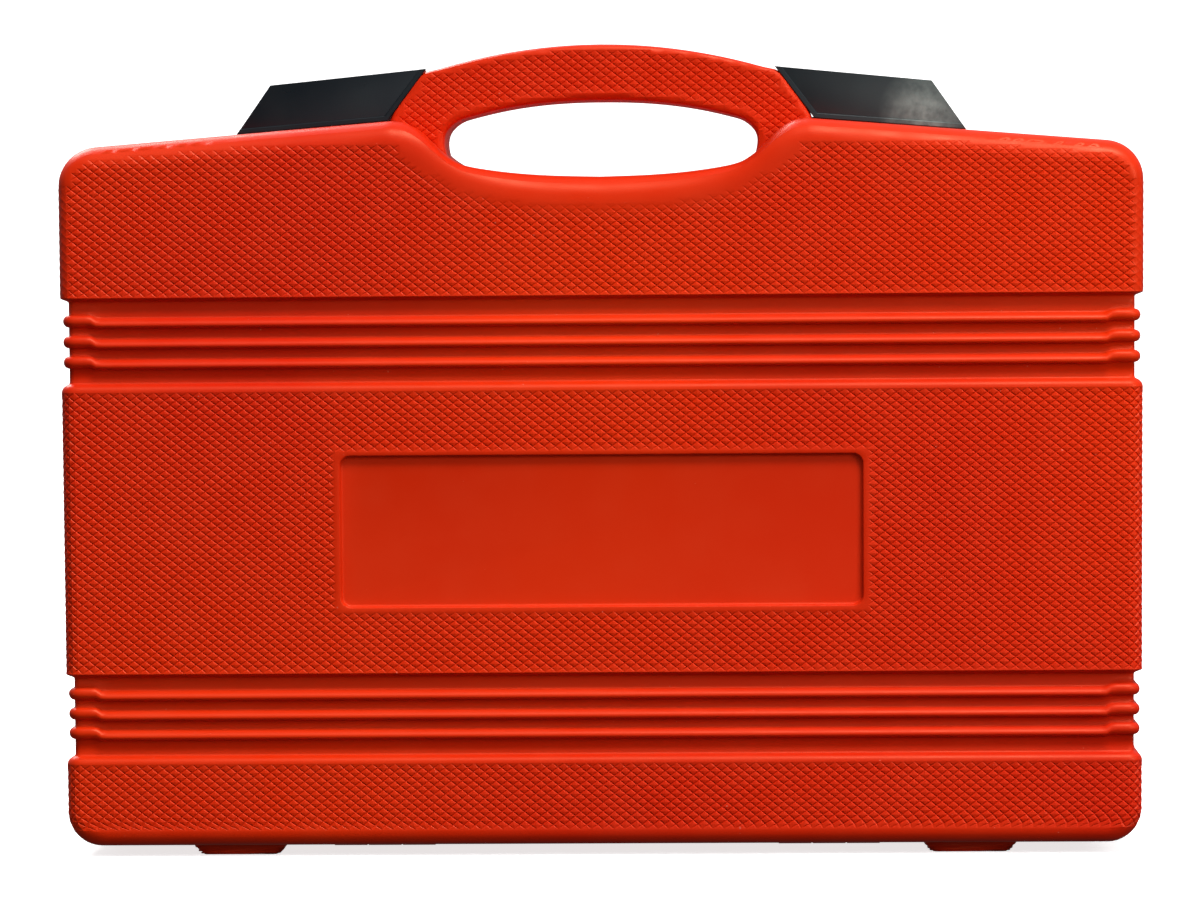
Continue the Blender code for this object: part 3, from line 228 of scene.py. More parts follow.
def diamonds(surface, place, columns, rows, mask, strength=1.0):
    """Raised diamonds on the lattice cells in mask, flat where the texture ends."""
    count_u = len(columns)
    count_z = len(rows)
    inner = np.zeros((count_u, count_z), bool)
    inner[1:-1, 1:-1] = whole_cells(mask)
    ends = np.zeros((count_u, count_z), bool)
    ends[0, 1:-1] = mask[0, :-1] & mask[0, 1:]
    ends[-1, 1:-1] = mask[-1, :-1] & mask[-1, 1:]
    deep = DIAMOND_DEPTH * np.where(inner | ends, strength, 0.0)
    i, j = np.meshgrid(np.arange(count_u), np.arange(count_z), indexing="ij")
    centre = (i + j) % 2 == 0
    base = place(columns[i], rows[j], np.where(centre, 0.0, deep))
    points = [base.reshape(-1, 3)]
    steps = ((1, 0), (0, 1), (-1, 0), (0, -1))
    for step_u, step_z in steps:
        to_i = np.clip(i + step_u, 0, count_u - 1)
        to_j = np.clip(j + step_z, 0, count_z - 1)
        u = columns[i] + (columns[to_i] - columns[i]) * PLATEAU
        z = rows[j] + (rows[to_j] - rows[j]) * PLATEAU
        points.append(place(u, z, deep[to_i, to_j] * PLATEAU_DROP).reshape(-1, 3))
    total = count_u * count_z

    def at(column, row, step=None):
        index = column * count_z + row
        return index if step is None else index + total * (step + 1)

    faces = []
    for column, row in zip(*np.nonzero(mask)):
        right, up = column + 1, row + 1
        if (column + row) % 2 == 0:
            a, b = at(right, row), at(column, up)
            e, n = at(column, row, 0), at(column, row, 1)
            w, s = at(right, up, 2), at(right, up, 3)
            faces += [(at(column, row), e, n), (e, a, b, n)]
            faces += [(at(right, up), w, s), (w, b, a, s)]
        else:
            a, b = at(column, row), at(right, up)
            n, w = at(right, row, 1), at(right, row, 2)
            s, e = at(column, up, 3), at(column, up, 0)
            faces += [(at(right, row), n, w), (n, b, a, w)]
            faces += [(at(column, up), s, e), (s, a, b, e)]
    surface.add(np.concatenate(points), faces, smooth=False)


def inside(polygon, x, z):
    """True where a point lies within a closed polygon."""
    x = np.asarray(x, float)
    z = np.asarray(z, float)
    result = np.zeros(x.shape, bool)
    for (x0, z0), (x1, z1) in zip(polygon, polygon[1:] + polygon[:1]):
        if z0 == z1:
            continue
        crosses = (z0 > z) != (z1 > z)
        result ^= crosses & (x < (x1 - x0) * (z - z0) / (z1 - z0) + x0)
    return result


def beyond(path, sizes, x, z):
    """Distance from each point to a path, and the size given for the path there."""
    best = np.full(np.shape(x), 1e9)
    size = np.zeros(np.shape(x))
    for k, ((x0, z0), (x1, z1)) in enumerate(zip(path, path[1:])):
        run_x, run_z = x1 - x0, z1 - z0
        share = ((x - x0) * run_x + (z - z0) * run_z) / (run_x**2 + run_z**2)
        share = np.clip(share, 0.0, 1.0)
        distance = np.hypot(x - x0 - share * run_x, z - z0 - share * run_z)
        closer = distance < best
        best = np.where(closer, distance, best)
        size = np.where(closer, sizes[k] + (sizes[k + 1] - sizes[k]) * share, size)
    return best, size


def nearness(path, x, z):
    """Distance from each point to a path of straight parts."""
    return beyond(path, [0.0] * len(path), x, z)[0]


def along(start, end, share):
    """The point at some share of the way between two."""
    return (start[0] + (end[0] - start[0]) * share, start[1] + (end[1] - start[1]) * share)


def between(first, second, share):
    """Points at some share of the way from one path to another."""
    return [along(start, end, share) for start, end in zip(first, second)]


def mirrored(path):
    """A path from the right to the middle, continued to the left."""
    return path + [(-x, z) for x, z in reversed(path[:-1])]


def mask_border(mask, columns, rows):
    """Edges between lattice cells in mask and cells that aren't."""
    padded = np.pad(mask, 1)
    edges = []
    for i in range(len(columns)):
        for j in range(len(rows) - 1):
            if padded[i, j + 1] != padded[i + 1, j + 1]:
                edges.append(((columns[i], rows[j]), (columns[i], rows[j + 1])))
    for i in range(len(columns) - 1):
        for j in range(len(rows)):
            if padded[i + 1, j] != padded[i + 1, j + 1]:
                edges.append(((columns[i], rows[j]), (columns[i + 1], rows[j])))
    return edges


def fill(surface, place, edges, keep):
    """Triangles between constraint edges, where keep says so of their middles."""
    points = []
    numbers = {}
    pairs = []
    for ends in edges:
        pair = []
        for x, z in ends:
            key = (round(x, 4), round(z, 4))
            if key not in numbers:
                numbers[key] = len(points)
                points.append(Vector((x, z)))
            pair.append(numbers[key])
        if pair[0] != pair[1]:
            pairs.append(tuple(pair))
    found, _, faces, _, _, _ = delaunay_2d_cdt(points, pairs, [], 0, 1e-5)
    flat = np.array([(p.x, p.y) for p in found])
    triangles = np.array([face for face in faces if len(face) == 3])
    corners = flat[triangles]
    middles = corners.mean(axis=1)
    first = corners[:, 1] - corners[:, 0]
    second = corners[:, 2] - corners[:, 0]
    area = first[:, 0] * second[:, 1] - first[:, 1] * second[:, 0]
    triangles[area < 0.0] = triangles[area < 0.0][:, ::-1]
    wanted = keep(middles[:, 0], middles[:, 1]) & (np.abs(area) > 1e-7)
    surface.add(place(flat[:, 0], flat[:, 1], 0.0), [tuple(t) for t in triangles[wanted]])


def in_mask(mask, columns, rows, x, z):
    """True where a point lies in a lattice cell that mask holds."""
    i = np.clip(np.searchsorted(columns, x) - 1, 0, mask.shape[0] - 1)
    j = np.clip(np.searchsorted(rows, z) - 1, 0, mask.shape[1] - 1)
    covered = (x > columns[0]) & (x < columns[-1]) & (z > rows[0]) & (z < rows[-1])
    return covered & mask[i, j]


def loop_edges(loop):
    """Edges of a closed loop."""
    return list(zip(loop, loop[1:] + loop[:1]))


def smooth_path(points, steps):
    """A smooth curve through points, with equally many steps between each two."""
    padded = [points[0]] + list(points) + [points[-1]]
    result = []
    for a, b, c, d in zip(padded, padded[1:], padded[2:], padded[3:]):
        a, b, c, d = (np.array(p, float) for p in (a, b, c, d))
        for k in range(steps):
            t = k / steps
            point = 0.5 * (
                2.0 * b + (c - a) * t + (2.0 * a - 5.0 * b + 4.0 * c - d) * t**2
                + (3.0 * b - a - 3.0 * c + d) * t**3
            )
            result.append(tuple(point))
    result.append(tuple(float(v) for v in points[-1]))
    return result


# ----- case halves


def rows_between(low, high):
    """Lattice rows from low to high, close to the usual step."""
    count = max(2, round((high - low) / ROW_STEP))
    return np.linspace(low, high, count + 1)


TOP_BORDER = 2.3  # smooth strip along the upper edge of a block
LOW_BORDER = 0.6  # and along its lower edge
FIRST_ROWS = rows_between(FLOOR_Z + EDGE + 0.6, LOWER_GROOVE[0] - TOP_BORDER)
MIDDLE_ROWS = rows_between(LOWER_GROOVE[1] + LOW_BORDER, UPPER_GROOVE[0] - TOP_BORDER)
SIDE_TOP_ROWS = rows_between(UPPER_GROOVE[1] + LOW_BORDER, TOP_CENTRE[1])
UPPER_STEP = SIDE_TOP_ROWS[1] - SIDE_TOP_ROWS[0]
TOP_ROWS = np.concatenate([SIDE_TOP_ROWS, TOP_CENTRE[1] + UPPER_STEP * np.arange(1, 10)])


RIB = [(-2.6, 3.0), (-2.45, 2.7), (-2.3, 1.95), (-2.15, 1.3), (-1.95, 0.85), (-1.6, 0.58), (-1.2, 0.5)]
RIB += [(-0.8, 0.57), (-0.4, 0.78), (0.0, 1.1), (0.45, 1.55), (0.85, 2.05), (1.15, 2.5), (1.45, 2.85)]
RIB += [(1.9, 3.0)]
ROUND_RIB = []
for turn in range(len(RIB)):
    swung = math.radians(180.0 * turn / (len(RIB) - 1) - 90.0)
    ROUND_RIB.append((0.2 + 2.2 * math.sin(swung), 3.0 - 2.1 * math.cos(swung)))
RIB_TURN = (181.9, 183.7)  # where the ribs become round, from the middle


def groove_profile(low, high, ribs, first, last, rib):
    """(height, depth) pairs across a band of grooves between two blocks."""
    profile = [(first, 0.0), (low - 1.8, 0.08), (low - 1.2, 0.28), (low - 0.6, 0.65), (low - 0.1, 1.15)]
    profile += [(low + 0.3, 1.75), (low + 0.55, 2.3), (low + 0.85, 2.75), (low + 1.4, 3.0)]
    for centre in ribs:
        profile += [(centre + rise, depth) for rise, depth in rib]
    profile += [(high - 1.2, 3.0), (high - 0.9, 2.9), (high - 0.6, 2.45), (high - 0.35, 1.8)]
    profile += [(high - 0.1, 1.15), (high + 0.1, 0.6), (high + 0.3, 0.22), (high + 0.45, 0.05)]
    profile += [(last, 0.0)]
    return profile


def band(surface, *measures):
    """A band of grooves all round the body, its ribs rounder at the sides."""
    start, end = RIB_TURN
    share = np.clip((np.abs(COLUMNS) - start) / (end - start), 0.0, 1.0)
    rows = []
    front = groove_profile(*measures, RIB)
    sides = groove_profile(*measures, ROUND_RIB)
    for (z, depth), (side_z, side_depth) in zip(front, sides):
        mixed_depth = depth + (side_depth - depth) * share
        rows.append(body_point(COLUMNS, z + (side_z - z) * share, mixed_depth))
    surface.grid(rows)


def bottom(surface, knuckle_gaps):
    """The rounded lower edge and the flat underside, open round the hinge knuckles."""
    rows = []
    for step in range(7):
        angle = math.radians(15.0 * step)
        rows.append(body_point(COLUMNS, FLOOR_Z + EDGE * (1.0 - math.cos(angle)), 0.0))
    rows.append(body_point(COLUMNS, FIRST_ROWS[0], 0.0))
    surface.grid(rows)
    outline = [(point[0], point[1]) for point in rows[0]]
    loops = loop_edges(outline)
    gaps = []
    for low, high in knuckle_gaps:
        gap = [(low, KNUCKLE_GAP_Y), (high, KNUCKLE_GAP_Y), (high, -PARTING), (low, -PARTING)]
        gaps.append(gap)
        loops += loop_edges(gap)

    def under(x, y, sunk):
        return np.stack([x, y, np.full(np.shape(x), FLOOR_Z + sunk)], -1)

    def keep(x, y):
        result = inside(outline, x, y)
        for gap in gaps:
            result &= ~inside(gap, x, y)
        return result

    start = len(surface.faces)
    fill(surface, under, loops, keep)
    surface.faces[start:] = [tuple(face[::-1]) for face in surface.faces[start:]]


def rounded_rectangle(half, low, high, radius, steps=6):
    """Anticlockwise outline with round corners, with points along its long sides."""
    points = []
    corners = ((half, low, -90.0), (half, high, 0.0), (-half, high, 90.0), (-half, low, 180.0))
    for x, z, start in corners:
        centre_x = x - math.copysign(radius, x)
        centre_z = z + radius if z == low else z - radius
        for step in range(steps + 1):
            angle = math.radians(start + 90.0 * step / steps)
            points.append((centre_x + radius * math.cos(angle), centre_z + radius * math.sin(angle)))
    spaced = []
    for (x0, z0), (x1, z1) in loop_edges(points):
        parts = max(1, round(math.hypot(x1 - x0, z1 - z0) / 3.0))
        for k in range(parts):
            spaced.append((x0 + (x1 - x0) * k / parts, z0 + (z1 - z0) * k / parts))
    return spaced


def label_rim(offset):
    """Outline of the label recess, grown by offset."""
    return rounded_rectangle(
        LABEL_HALF + offset, LABEL_Z[0] - offset, LABEL_Z[1] + offset, LABEL_ROUND + offset
    )


def middle_block(surface, labelled):
    """The textured block between the grooves, with the label recess on the lid."""
    mask = np.ones((len(COLUMNS) - 1, len(MIDDLE_ROWS) - 1), bool)
    if labelled:
        rim = label_rim(LABEL_RINGS[0][0])
        x, z = np.meshgrid(COLUMNS, MIDDLE_ROWS, indexing="ij")
        low, high = LABEL_Z
        taken = (np.abs(x) < LABEL_HALF + LABEL_ROOM) & (z > low - LABEL_ROOM) & (z < high + LABEL_ROOM)
        mask = whole_cells(~taken)
        near = []
        for edge in mask_border(mask, COLUMNS, MIDDLE_ROWS):
            is_beside = max(abs(end[0]) for end in edge) < LABEL_HALF + LABEL_NEAR
            if is_beside and low - LABEL_NEAR < edge[0][1] < high + LABEL_NEAR:
                near.append(edge)

        def keep(x, z):
            return ~in_mask(mask, COLUMNS, MIDDLE_ROWS, x, z) & ~inside(rim, x, z)

        fill(surface, body_point, near + loop_edges(rim), keep)
        rows = []
        for offset, depth in LABEL_RINGS:
            loop = label_rim(offset)
            rows.append([(x, -HALF_DEPTH + depth, z) for x, z in loop + loop[:1]])
        surface.grid(rows)
        surface.add(rows[-1][:-1], [tuple(range(len(rows[-1]) - 1))])
    diamonds(surface, body_point, COLUMNS, MIDDLE_ROWS, mask)


def top_edge():
    """Crest points, the start of their rounding on the front, and how deep it goes."""
    crest = []
    front = []
    depth = []
    steps = 12
    for step in range(steps + 1):
        share = step / steps
        angle = SHOULDER_ANGLE * share
        grown = share * share * (3.0 - 2.0 * share)
        radius = EDGE + SHOULDER_GROWTH * grown
        x = math.cos(angle)
        z = math.sin(angle)
        crest.append((TOP_CENTRE[0] + TOP_ROUND * x, TOP_CENTRE[1] + TOP_ROUND * z))
        within = TOP_ROUND - radius
        front.append((TOP_CENTRE[0] + within * x, TOP_CENTRE[1] + within * z))
        depth.append(radius - SHOULDER_FLATTER * grown)
    straight = 44
    crest_start, front_start = crest[-1], front[-1]
    for step in range(1, straight):
        crest.append(along(crest_start, CREST_END, step / straight))
        front.append(along(front_start, FRONT_END, step / straight))
        depth.append(depth[steps])
    crest_curve = [CREST_END, (69.5, 263.7), (64.5, 260.7), (59.0, 255.4), (54.5, 251.4)]
    crest_curve += [(48.5, 248.5), (35.0, 246.2), (19.0, 244.8), (0.0, 244.2)]
    front_curve = [FRONT_END, (70.0, 253.9), (64.0, 250.4), (58.0, 246.2), (51.5, 242.4)]
    front_curve += [(44.5, 239.6), (33.0, 237.0), (18.5, 235.3), (0.0, 234.6)]
    crest += smooth_path(crest_curve, 5)
    front += smooth_path(front_curve, 5)
    depth += [depth[steps]] * (len(crest) - len(depth))
    depth += list(reversed(depth[:-1]))
    return mirrored(crest), mirrored(front), depth


def open_edges(path, mask, columns, rows):
    """Edges of a path that lie clear of the lattice cells in mask."""
    clear = np.ones(len(path) - 1, bool)
    for share in (0.0, 0.25, 0.5, 0.75, 1.0):
        sampled = np.array(between(path[:-1], path[1:], share))
        clear &= ~in_mask(mask, columns, rows, sampled[:, 0], sampled[:, 1])
    return [(path[k], path[k + 1]) for k in np.nonzero(clear)[0]]


def upper_block(surface):
    """The textured block at the top, its broad rounded edge and the shoulders."""
    crest, front, depth = top_edge()
    widths = [math.hypot(cx - fx, cz - fz) for (cx, cz), (fx, fz) in zip(crest, front)]
    ratios = [radius / width for radius, width in zip(depth, widths)]
    low = TOP_ROWS[0]
    flat_part = [(-FRONT_HALF - 1.0, low - 1.0), (FRONT_HALF + 1.0, low - 1.0)] + front
    cut = between(front, crest, CUT)

    def rolled(x, z):
        """How far round the edge a point is, and how far back the edge is there."""
        reach, width = beyond(front, widths, x, z)
        share = np.where(inside(flat_part, x, z), 0.0, np.minimum(reach / width, ALMOST))
        _, ratio = beyond(front, ratios, x, z)
        radius = width * ratio
        return share, radius * (1.0 - np.sqrt(1.0 - share**2))

    def place(u, z, sunk):
        u, z, sunk = np.broadcast_arrays(np.asarray(u, float), np.asarray(z, float), sunk)
        points = body_point(u, z, sunk)
        in_front = (np.abs(u) <= FRONT_HALF + 1e-6) & (z > low + 20.0)
        back = np.zeros(u.shape)
        back[in_front] = rolled(u[in_front], z[in_front])[1]
        points[..., 1] += back
        return points

    x, z = np.meshgrid(COLUMNS, TOP_ROWS, indexing="ij")
    share, _ = rolled(x, z)
    room = nearness(front, x, z)
    climb_start, climb_width = SHOULDER_TEXTURE
    at_shoulder = np.clip((np.abs(x) - climb_start) / climb_width, 0.0, 1.0)
    good = (np.abs(x) < FRONT_HALF + 1e-6) & (z > low - 1e-6)
    good &= np.where(at_shoulder > 0.4, share < TEXTURED, (share == 0.0) & (room > 0.3))
    good |= (np.abs(x) >= FRONT_HALF - 1e-6) & (z <= TOP_CENTRE[1] + 1e-6)
    mask = whole_cells(good)
    faded = np.where(share > 0.0, 0.0, np.clip(room / TEXTURE_FADE, 0.1, 1.0))
    strength = at_shoulder * (1.0 - 0.75 * share / TEXTURED) + (1.0 - at_shoulder) * faded
    diamonds(surface, place, COLUMNS, TOP_ROWS, mask, strength)
    near = []
    for edge in mask_border(mask, COLUMNS, TOP_ROWS):
        in_front = max(abs(end[0]) for end in edge) <= FRONT_HALF + 1e-6
        if in_front and max(edge[0][1], edge[1][1]) > low + 1e-6:
            near.append(edge)
    corner_x = FRONT_HALF + EDGE * math.sin(math.radians(22.5))
    closing = [front[0], (corner_x, front[0][1]), cut[0]]
    closing_left = [(-px, pz) for px, pz in reversed(closing)]
    outer = [(-FRONT_HALF, low), (FRONT_HALF, low)] + closing[:2] + cut + closing_left[1:]
    lines = near + list(zip(cut, cut[1:]))
    lines += list(zip(closing, closing[1:])) + list(zip(closing_left, closing_left[1:]))
    for part in (0.0, 0.3, 0.45, 0.55, 0.63):
        lines += open_edges(between(front, crest, part), mask, COLUMNS, TOP_ROWS)

    def keep(x, z):
        return inside(outer, x, z) & ~in_mask(mask, COLUMNS, TOP_ROWS, x, z)

    def flat(x, z, sunk):
        return np.stack([x, -HALF_DEPTH + rolled(x, z)[1] + sunk, z], -1)

    fill(surface, flat, lines, keep)
    rows = []
    for degrees in (45.0, 56.0, 67.5, 79.0, 90.0):
        angle = math.radians(degrees)
        row = []
        for (cx, cz), (fx, fz), radius in zip(crest, front, depth):
            share = math.sin(angle)
            y = -HALF_DEPTH + radius * (1.0 - math.cos(angle))
            row.append((fx + (cx - fx) * share, y, fz + (cz - fz) * share))
        rows.append(row)
    for step in range(1, 7):
        share = step / 6
        row = []
        for (cx, cz), radius in zip(crest, depth):
            y = -HALF_DEPTH + radius
            row.append((cx, y + (-PARTING - y) * share, cz))
        rows.append(row)
    surface.grid(rows, flip=True)


def latch_corners(node):
    """A latch's side, the Y of its front, and the front's feet and tops, outer ones first."""

    def height(point):
        return point[1] + 0.2 * point[0]

    points = [vert.co / MM for vert in frame["nodes"][node].data.vertices]
    side = 1.0 if points[0].x > 0.0 else -1.0
    face_y = min(point.y for point in points)
    face = [(abs(point.x), point.z) for point in points if point.y < face_y + 0.01]
    feet = (max(face), min(face, key=height))
    tops = (max(face, key=height), max(face, key=lambda point: point[1]))
    return side, face_y, feet, tops


def latch_land(surface):
    """The low ridges on the lid's shoulders that the latches close over."""
    for name in ("latch_left", "latch_right"):
        side, _, feet, _ = latch_corners(name)
        (outer_x, outer_z), (inner_x, inner_z) = feet
        slope = (outer_z - inner_z) / (outer_x - inner_x)
        rows = []
        for y, drop in ((-15.5, 6.0), (-14.0, 0.9), (-13.2, 0.35), (-12.0, 0.2), (-PARTING, 0.2)):
            row = []
            for x, sink in (
                (inner_x - 4.6, 6.0),
                (inner_x - 2.6, 0.5),
                (inner_x - 0.6, 0.3),
                (inner_x + 1.0, 0.0),
                (outer_x - 1.0, 0.0),
                (outer_x + 0.4, 0.3),
                (outer_x + 2.4, 6.0),
            ):
                z = inner_z + (x - inner_x) * slope - max(drop, sink)
                row.append((side * x, y, z))
            rows.append(row)
        surface.grid(rows, flip=side < 0.0)


HANDLE_Y = -18.0
HANDLE_ROUND = 2.6
HANDLE_ROWS = (28, 60)  # lattice rows that cover it, counted from the upper block's first
OUTER_ARCH = (65.4, 281.9)  # where the handle's outer arc starts
INNER_ARCH = (50.5, 265.6)  # and its inner arc
INNER_RISE = 6.6
RIM_ROOM = 0.7  # between the opening's edge and the flat rim inside


def handle_edges():
    """The outer and inner edge of the handle, from the right root to the left."""
    outer = [(76.6, 250.0), (76.6, 257.0), (76.9, 263.0), (75.9, 267.3), (73.2, 271.6), (70.5, 275.2)]
    inner = [(52.0, 246.0), (55.2, 250.5), (56.4, 254.5), (56.7, 258.0), (55.8, 261.2), (53.6, 263.7)]
    outer_rise = cad_high.z / MM - OUTER_ARCH[1]
    arch = 10
    for path, (start_x, start_z), rise, power in (
        (outer, OUTER_ARCH, outer_rise, 2),
        (inner, INNER_ARCH, INNER_RISE, 2.3),
    ):
        path.append((start_x, start_z))
        for step in range(1, arch + 1):
            x = start_x * (1.0 - step / arch)
            path.append((x, start_z + rise * (1.0 - (x / start_x) ** power)))
    return mirrored(smooth_path(outer, 3)), mirrored(smooth_path(inner, 3))


def handle(surface):
    """Half of the handle: a textured arc with round borders, rooted in the body."""
    outer, inner = handle_edges()
    border = HANDLE_ROUND
    outer_front = []
    inner_front = []
    for (ox, oz), (ix, iz) in zip(outer, inner):
        reach = math.hypot(ix - ox, iz - oz)
        step_x, step_z = (ix - ox) / reach * border, (iz - oz) / reach * border
        outer_front.append((ox + step_x, oz + step_z))
        inner_front.append((ix - step_x, iz - step_z))
    for edge, front, flip in ((outer, outer_front, False), (inner, inner_front, True)):
        rows = [[(x, -PARTING, z) for x, z in edge], [(x, -8.0, z) for x, z in edge]]
        for degrees in (0.0, 15.0, 30.0, 45.0):
            angle = math.radians(degrees)
            y = HANDLE_Y + border * (1.0 - math.sin(angle))
            rows.append([(x, y, z) for x, z in between(edge, front, 1.0 - math.cos(angle))])
        surface.grid(rows, flip=flip)
    loop = outer_front + inner_front[::-1]
    wide = between(outer, outer_front, 1.0 - CUT) + between(inner, inner_front, 1.0 - CUT)[::-1]
    columns = COLUMNS[FRONT_FIRST : FRONT_LAST + 1]
    rows = TOP_ROWS[0] + UPPER_STEP * np.arange(*HANDLE_ROWS)

    def rolled(x, z):
        share = np.minimum(nearness(loop + loop[:1], x, z) / border, ALMOST)
        return np.where(inside(loop, x, z), 0.0, share)

    def place(x, z, sunk):
        x, z, sunk = np.broadcast_arrays(x, z, sunk)
        back = border * (1.0 - np.sqrt(1.0 - rolled(x, z) ** 2))
        return np.stack([x, HANDLE_Y + back + sunk, z], -1)

    x, z = np.meshgrid(columns, rows, indexing="ij")
    share = rolled(x, z)
    good = inside(wide, x, z) & (share < TEXTURED)
    mask = whole_cells(good)

    def keep(x, z):
        return inside(wide, x, z) & ~in_mask(mask, columns, rows, x, z)

    diamonds(surface, place, columns, rows, mask, 1.0 - 0.5 * share)
    lines = mask_border(mask, columns, rows) + loop_edges(wide)
    lines += open_edges(loop + loop[:1], mask, columns, rows)
    fill(surface, place, lines, keep)


def foot(surface, middle):
    """One moulded foot, tapered and rounded."""
    rings = []
    for z, half, depth, radius in FOOT_RINGS:
        ring = rounded_rectangle(half, FOOT_Y - depth, FOOT_Y + depth, radius, 4)
        rings.append([(x + middle, -y, z) for x, y in ring + ring[:1]])
    surface.grid(rings)
    surface.add(rings[-1][:-1], [tuple(range(len(rings[-1]) - 1))])


# ----- materials


def link(tree, start, end):
    """Join two sockets."""
    tree.links.new(start, end)


def new_material(name, colour, roughness, metallic=0.0):
    """A material with one shader; returns it with its tree and shader."""
    made = bpy.data.materials.new(name)
    made.use_nodes = True
    tree = made.node_tree
    shader = tree.nodes["Principled BSDF"]
    shader.inputs["Base Color"].default_value = (*colour, 1.0)
    shader.inputs["Roughness"].default_value = roughness
    shader.inputs["Metallic"].default_value = metallic
    return made, tree, shader


def noise(tree, scale, detail=3.0, stretch=(1.0, 1.0, 1.0)):
    """Noise in the piece's own coordinates; returns its value output."""
    place = tree.nodes.new("ShaderNodeTexCoord")
    mapping = tree.nodes.new("ShaderNodeMapping")
    mapping.inputs["Scale"].default_value = stretch
    made = tree.nodes.new("ShaderNodeTexNoise")
    made.inputs["Scale"].default_value = scale
    made.inputs["Detail"].default_value = detail
    link(tree, place.outputs["Object"], mapping.inputs["Vector"])
    link(tree, mapping.outputs["Vector"], made.inputs["Vector"])
    return made.outputs[0]


def spread(tree, value, low, high, start=0.0, end=1.0):
    """The value mapped from low..high to start..end, held at both ends."""
    made = tree.nodes.new("ShaderNodeMapRange")
    for name, number in (("From Min", low), ("From Max", high), ("To Min", start), ("To Max", end)):
        made.inputs[name].default_value = number
    link(tree, value, made.inputs["Value"])
    return made.outputs[0]


def blend_colours(tree, share, first, second):
    """A mix of two colours, each a socket or a plain colour."""
    made = tree.nodes.new("ShaderNodeMix")
    made.data_type = "RGBA"
    link(tree, share, made.inputs[0])
    for colour, socket in ((first, made.inputs[6]), (second, made.inputs[7])):
        if isinstance(colour, tuple):
            socket.default_value = (*colour, 1.0)
        else:
            link(tree, colour, socket)
    return made.outputs[2]


def bump(tree, shader, height, strength, distance):
    """Fine surface relief from a height value."""
    made = tree.nodes.new("ShaderNodeBump")
    made.inputs["Strength"].default_value = strength
    made.inputs["Distance"].default_value = distance
    link(tree, height, made.inputs["Height"])
    link(tree, made.outputs["Normal"], shader.inputs["Normal"])


def vary_roughness(tree, shader, scale, low, high):
    """Roughness that wanders between low and high."""
    link(tree, spread(tree, noise(tree, scale), 0.3, 0.7, low, high), shader.inputs["Roughness"])


def case_material():
    """Moulded red-orange plastic: clouded colour, pale specks, faint orange peel."""
    made, tree, shader = new_material("case_plastic_moulded", (0.6, 0.02, 0.002), 0.45)
    shader.inputs["Specular IOR Level"].default_value = 0.34
    shader.inputs["Specular Tint"].default_value = (1.0, 0.46, 0.24, 1.0)
    clouds = spread(tree, noise(tree, 7.0, 1.5), 0.3, 0.7)
    colour = blend_colours(tree, clouds, (0.64, 0.022, 0.0008), (0.57, 0.013, 0.0015))
    mottle = spread(tree, noise(tree, 60.0, 4.0), 0.4, 0.8, 0.0, 0.2)
    colour = blend_colours(tree, mottle, colour, (0.66, 0.04, 0.009))
    specks = spread(tree, noise(tree, 700.0, 1.0), 0.8, 0.83, 0.0, 0.5)
    colour = blend_colours(tree, specks, colour, (0.72, 0.2, 0.13))
    link(tree, colour, shader.inputs["Base Color"])
    vary_roughness(tree, shader, 70.0, 0.35, 0.48)
    bump(tree, shader, noise(tree, 1400.0, 2.0), 0.12, 0.00015)
    return made


SHEEN_SPOT = (0.1175, -0.017, 0.2672)  # a whitish patch of painted sheen on the right latch


def latch_material():
    """Dark green-black plastic with a faint bloom, and a patch of painted whitish sheen on the right
    latch.
    """
    made, tree, shader = new_material("latch_plastic_moulded", (0.008, 0.012, 0.014), 0.3)
    shader.inputs["Specular IOR Level"].default_value = 0.3
    bloom = spread(tree, noise(tree, 40.0, 3.0), 0.5, 0.75, 0.0, 0.4)
    colour = blend_colours(tree, bloom, (0.004, 0.0075, 0.011), (0.012, 0.018, 0.02))
    away = tree.nodes.new("ShaderNodeVectorMath")
    away.operation = "DISTANCE"
    away.inputs[1].default_value = SHEEN_SPOT
    link(tree, tree.nodes.new("ShaderNodeTexCoord").outputs["Object"], away.inputs[0])
    # A patch of painted sheen round the spot on the right latch, broad and faint, then small and
    # strong.
    for reach, grain, strength in ((0.07, 12.0, 0.15), (0.017, 260.0, 1.0)):
        painted_sheen = tree.nodes.new("ShaderNodeMath")
        painted_sheen.operation = "MULTIPLY"
        fading = spread(tree, away.outputs["Value"], 0.15 * reach, reach, strength, 0.0)
        patches = spread(tree, noise(tree, grain, 4.0), 0.3, 0.7, 0.35, 1.0)
        link(tree, fading, painted_sheen.inputs[0])
        link(tree, patches, painted_sheen.inputs[1])
        colour = blend_colours(tree, painted_sheen.outputs[0], colour, (0.2, 0.235, 0.215))
    link(tree, colour, shader.inputs["Base Color"])
    vary_roughness(tree, shader, 60.0, 0.24, 0.42)
    bump(tree, shader, noise(tree, 900.0, 2.0), 0.1, 0.0001)
    return made


def chrome_material():
    """Satin chrome with fine brushing and faint smudges."""
    made, tree, shader = new_material("chrome_satin", (0.72, 0.73, 0.75), 0.2, 1.0)
    smudge = spread(tree, noise(tree, 45.0, 3.0), 0.45, 0.75, 0.0, 0.6)
    colour = blend_colours(tree, smudge, (0.76, 0.77, 0.79), (0.6, 0.61, 0.63))
    link(tree, colour, shader.inputs["Base Color"])
    vary_roughness(tree, shader, 90.0, 0.14, 0.3)
    bump(tree, shader, noise(tree, 600.0, 2.0, (1.0, 1.0, 12.0)), 0.05, 0.0001)
    return made


def steel_material():
    """Darker plain steel for pins, screws and balls."""
    made, tree, shader = new_material("steel_plain", (0.45, 0.45, 0.46), 0.32, 1.0)
    stain = spread(tree, noise(tree, 250.0, 3.0), 0.4, 0.7)
    colour = blend_colours(tree, stain, (0.5, 0.5, 0.51), (0.34, 0.33, 0.33))
    link(tree, colour, shader.inputs["Base Color"])
    vary_roughness(tree, shader, 300.0, 0.25, 0.42)
    return made


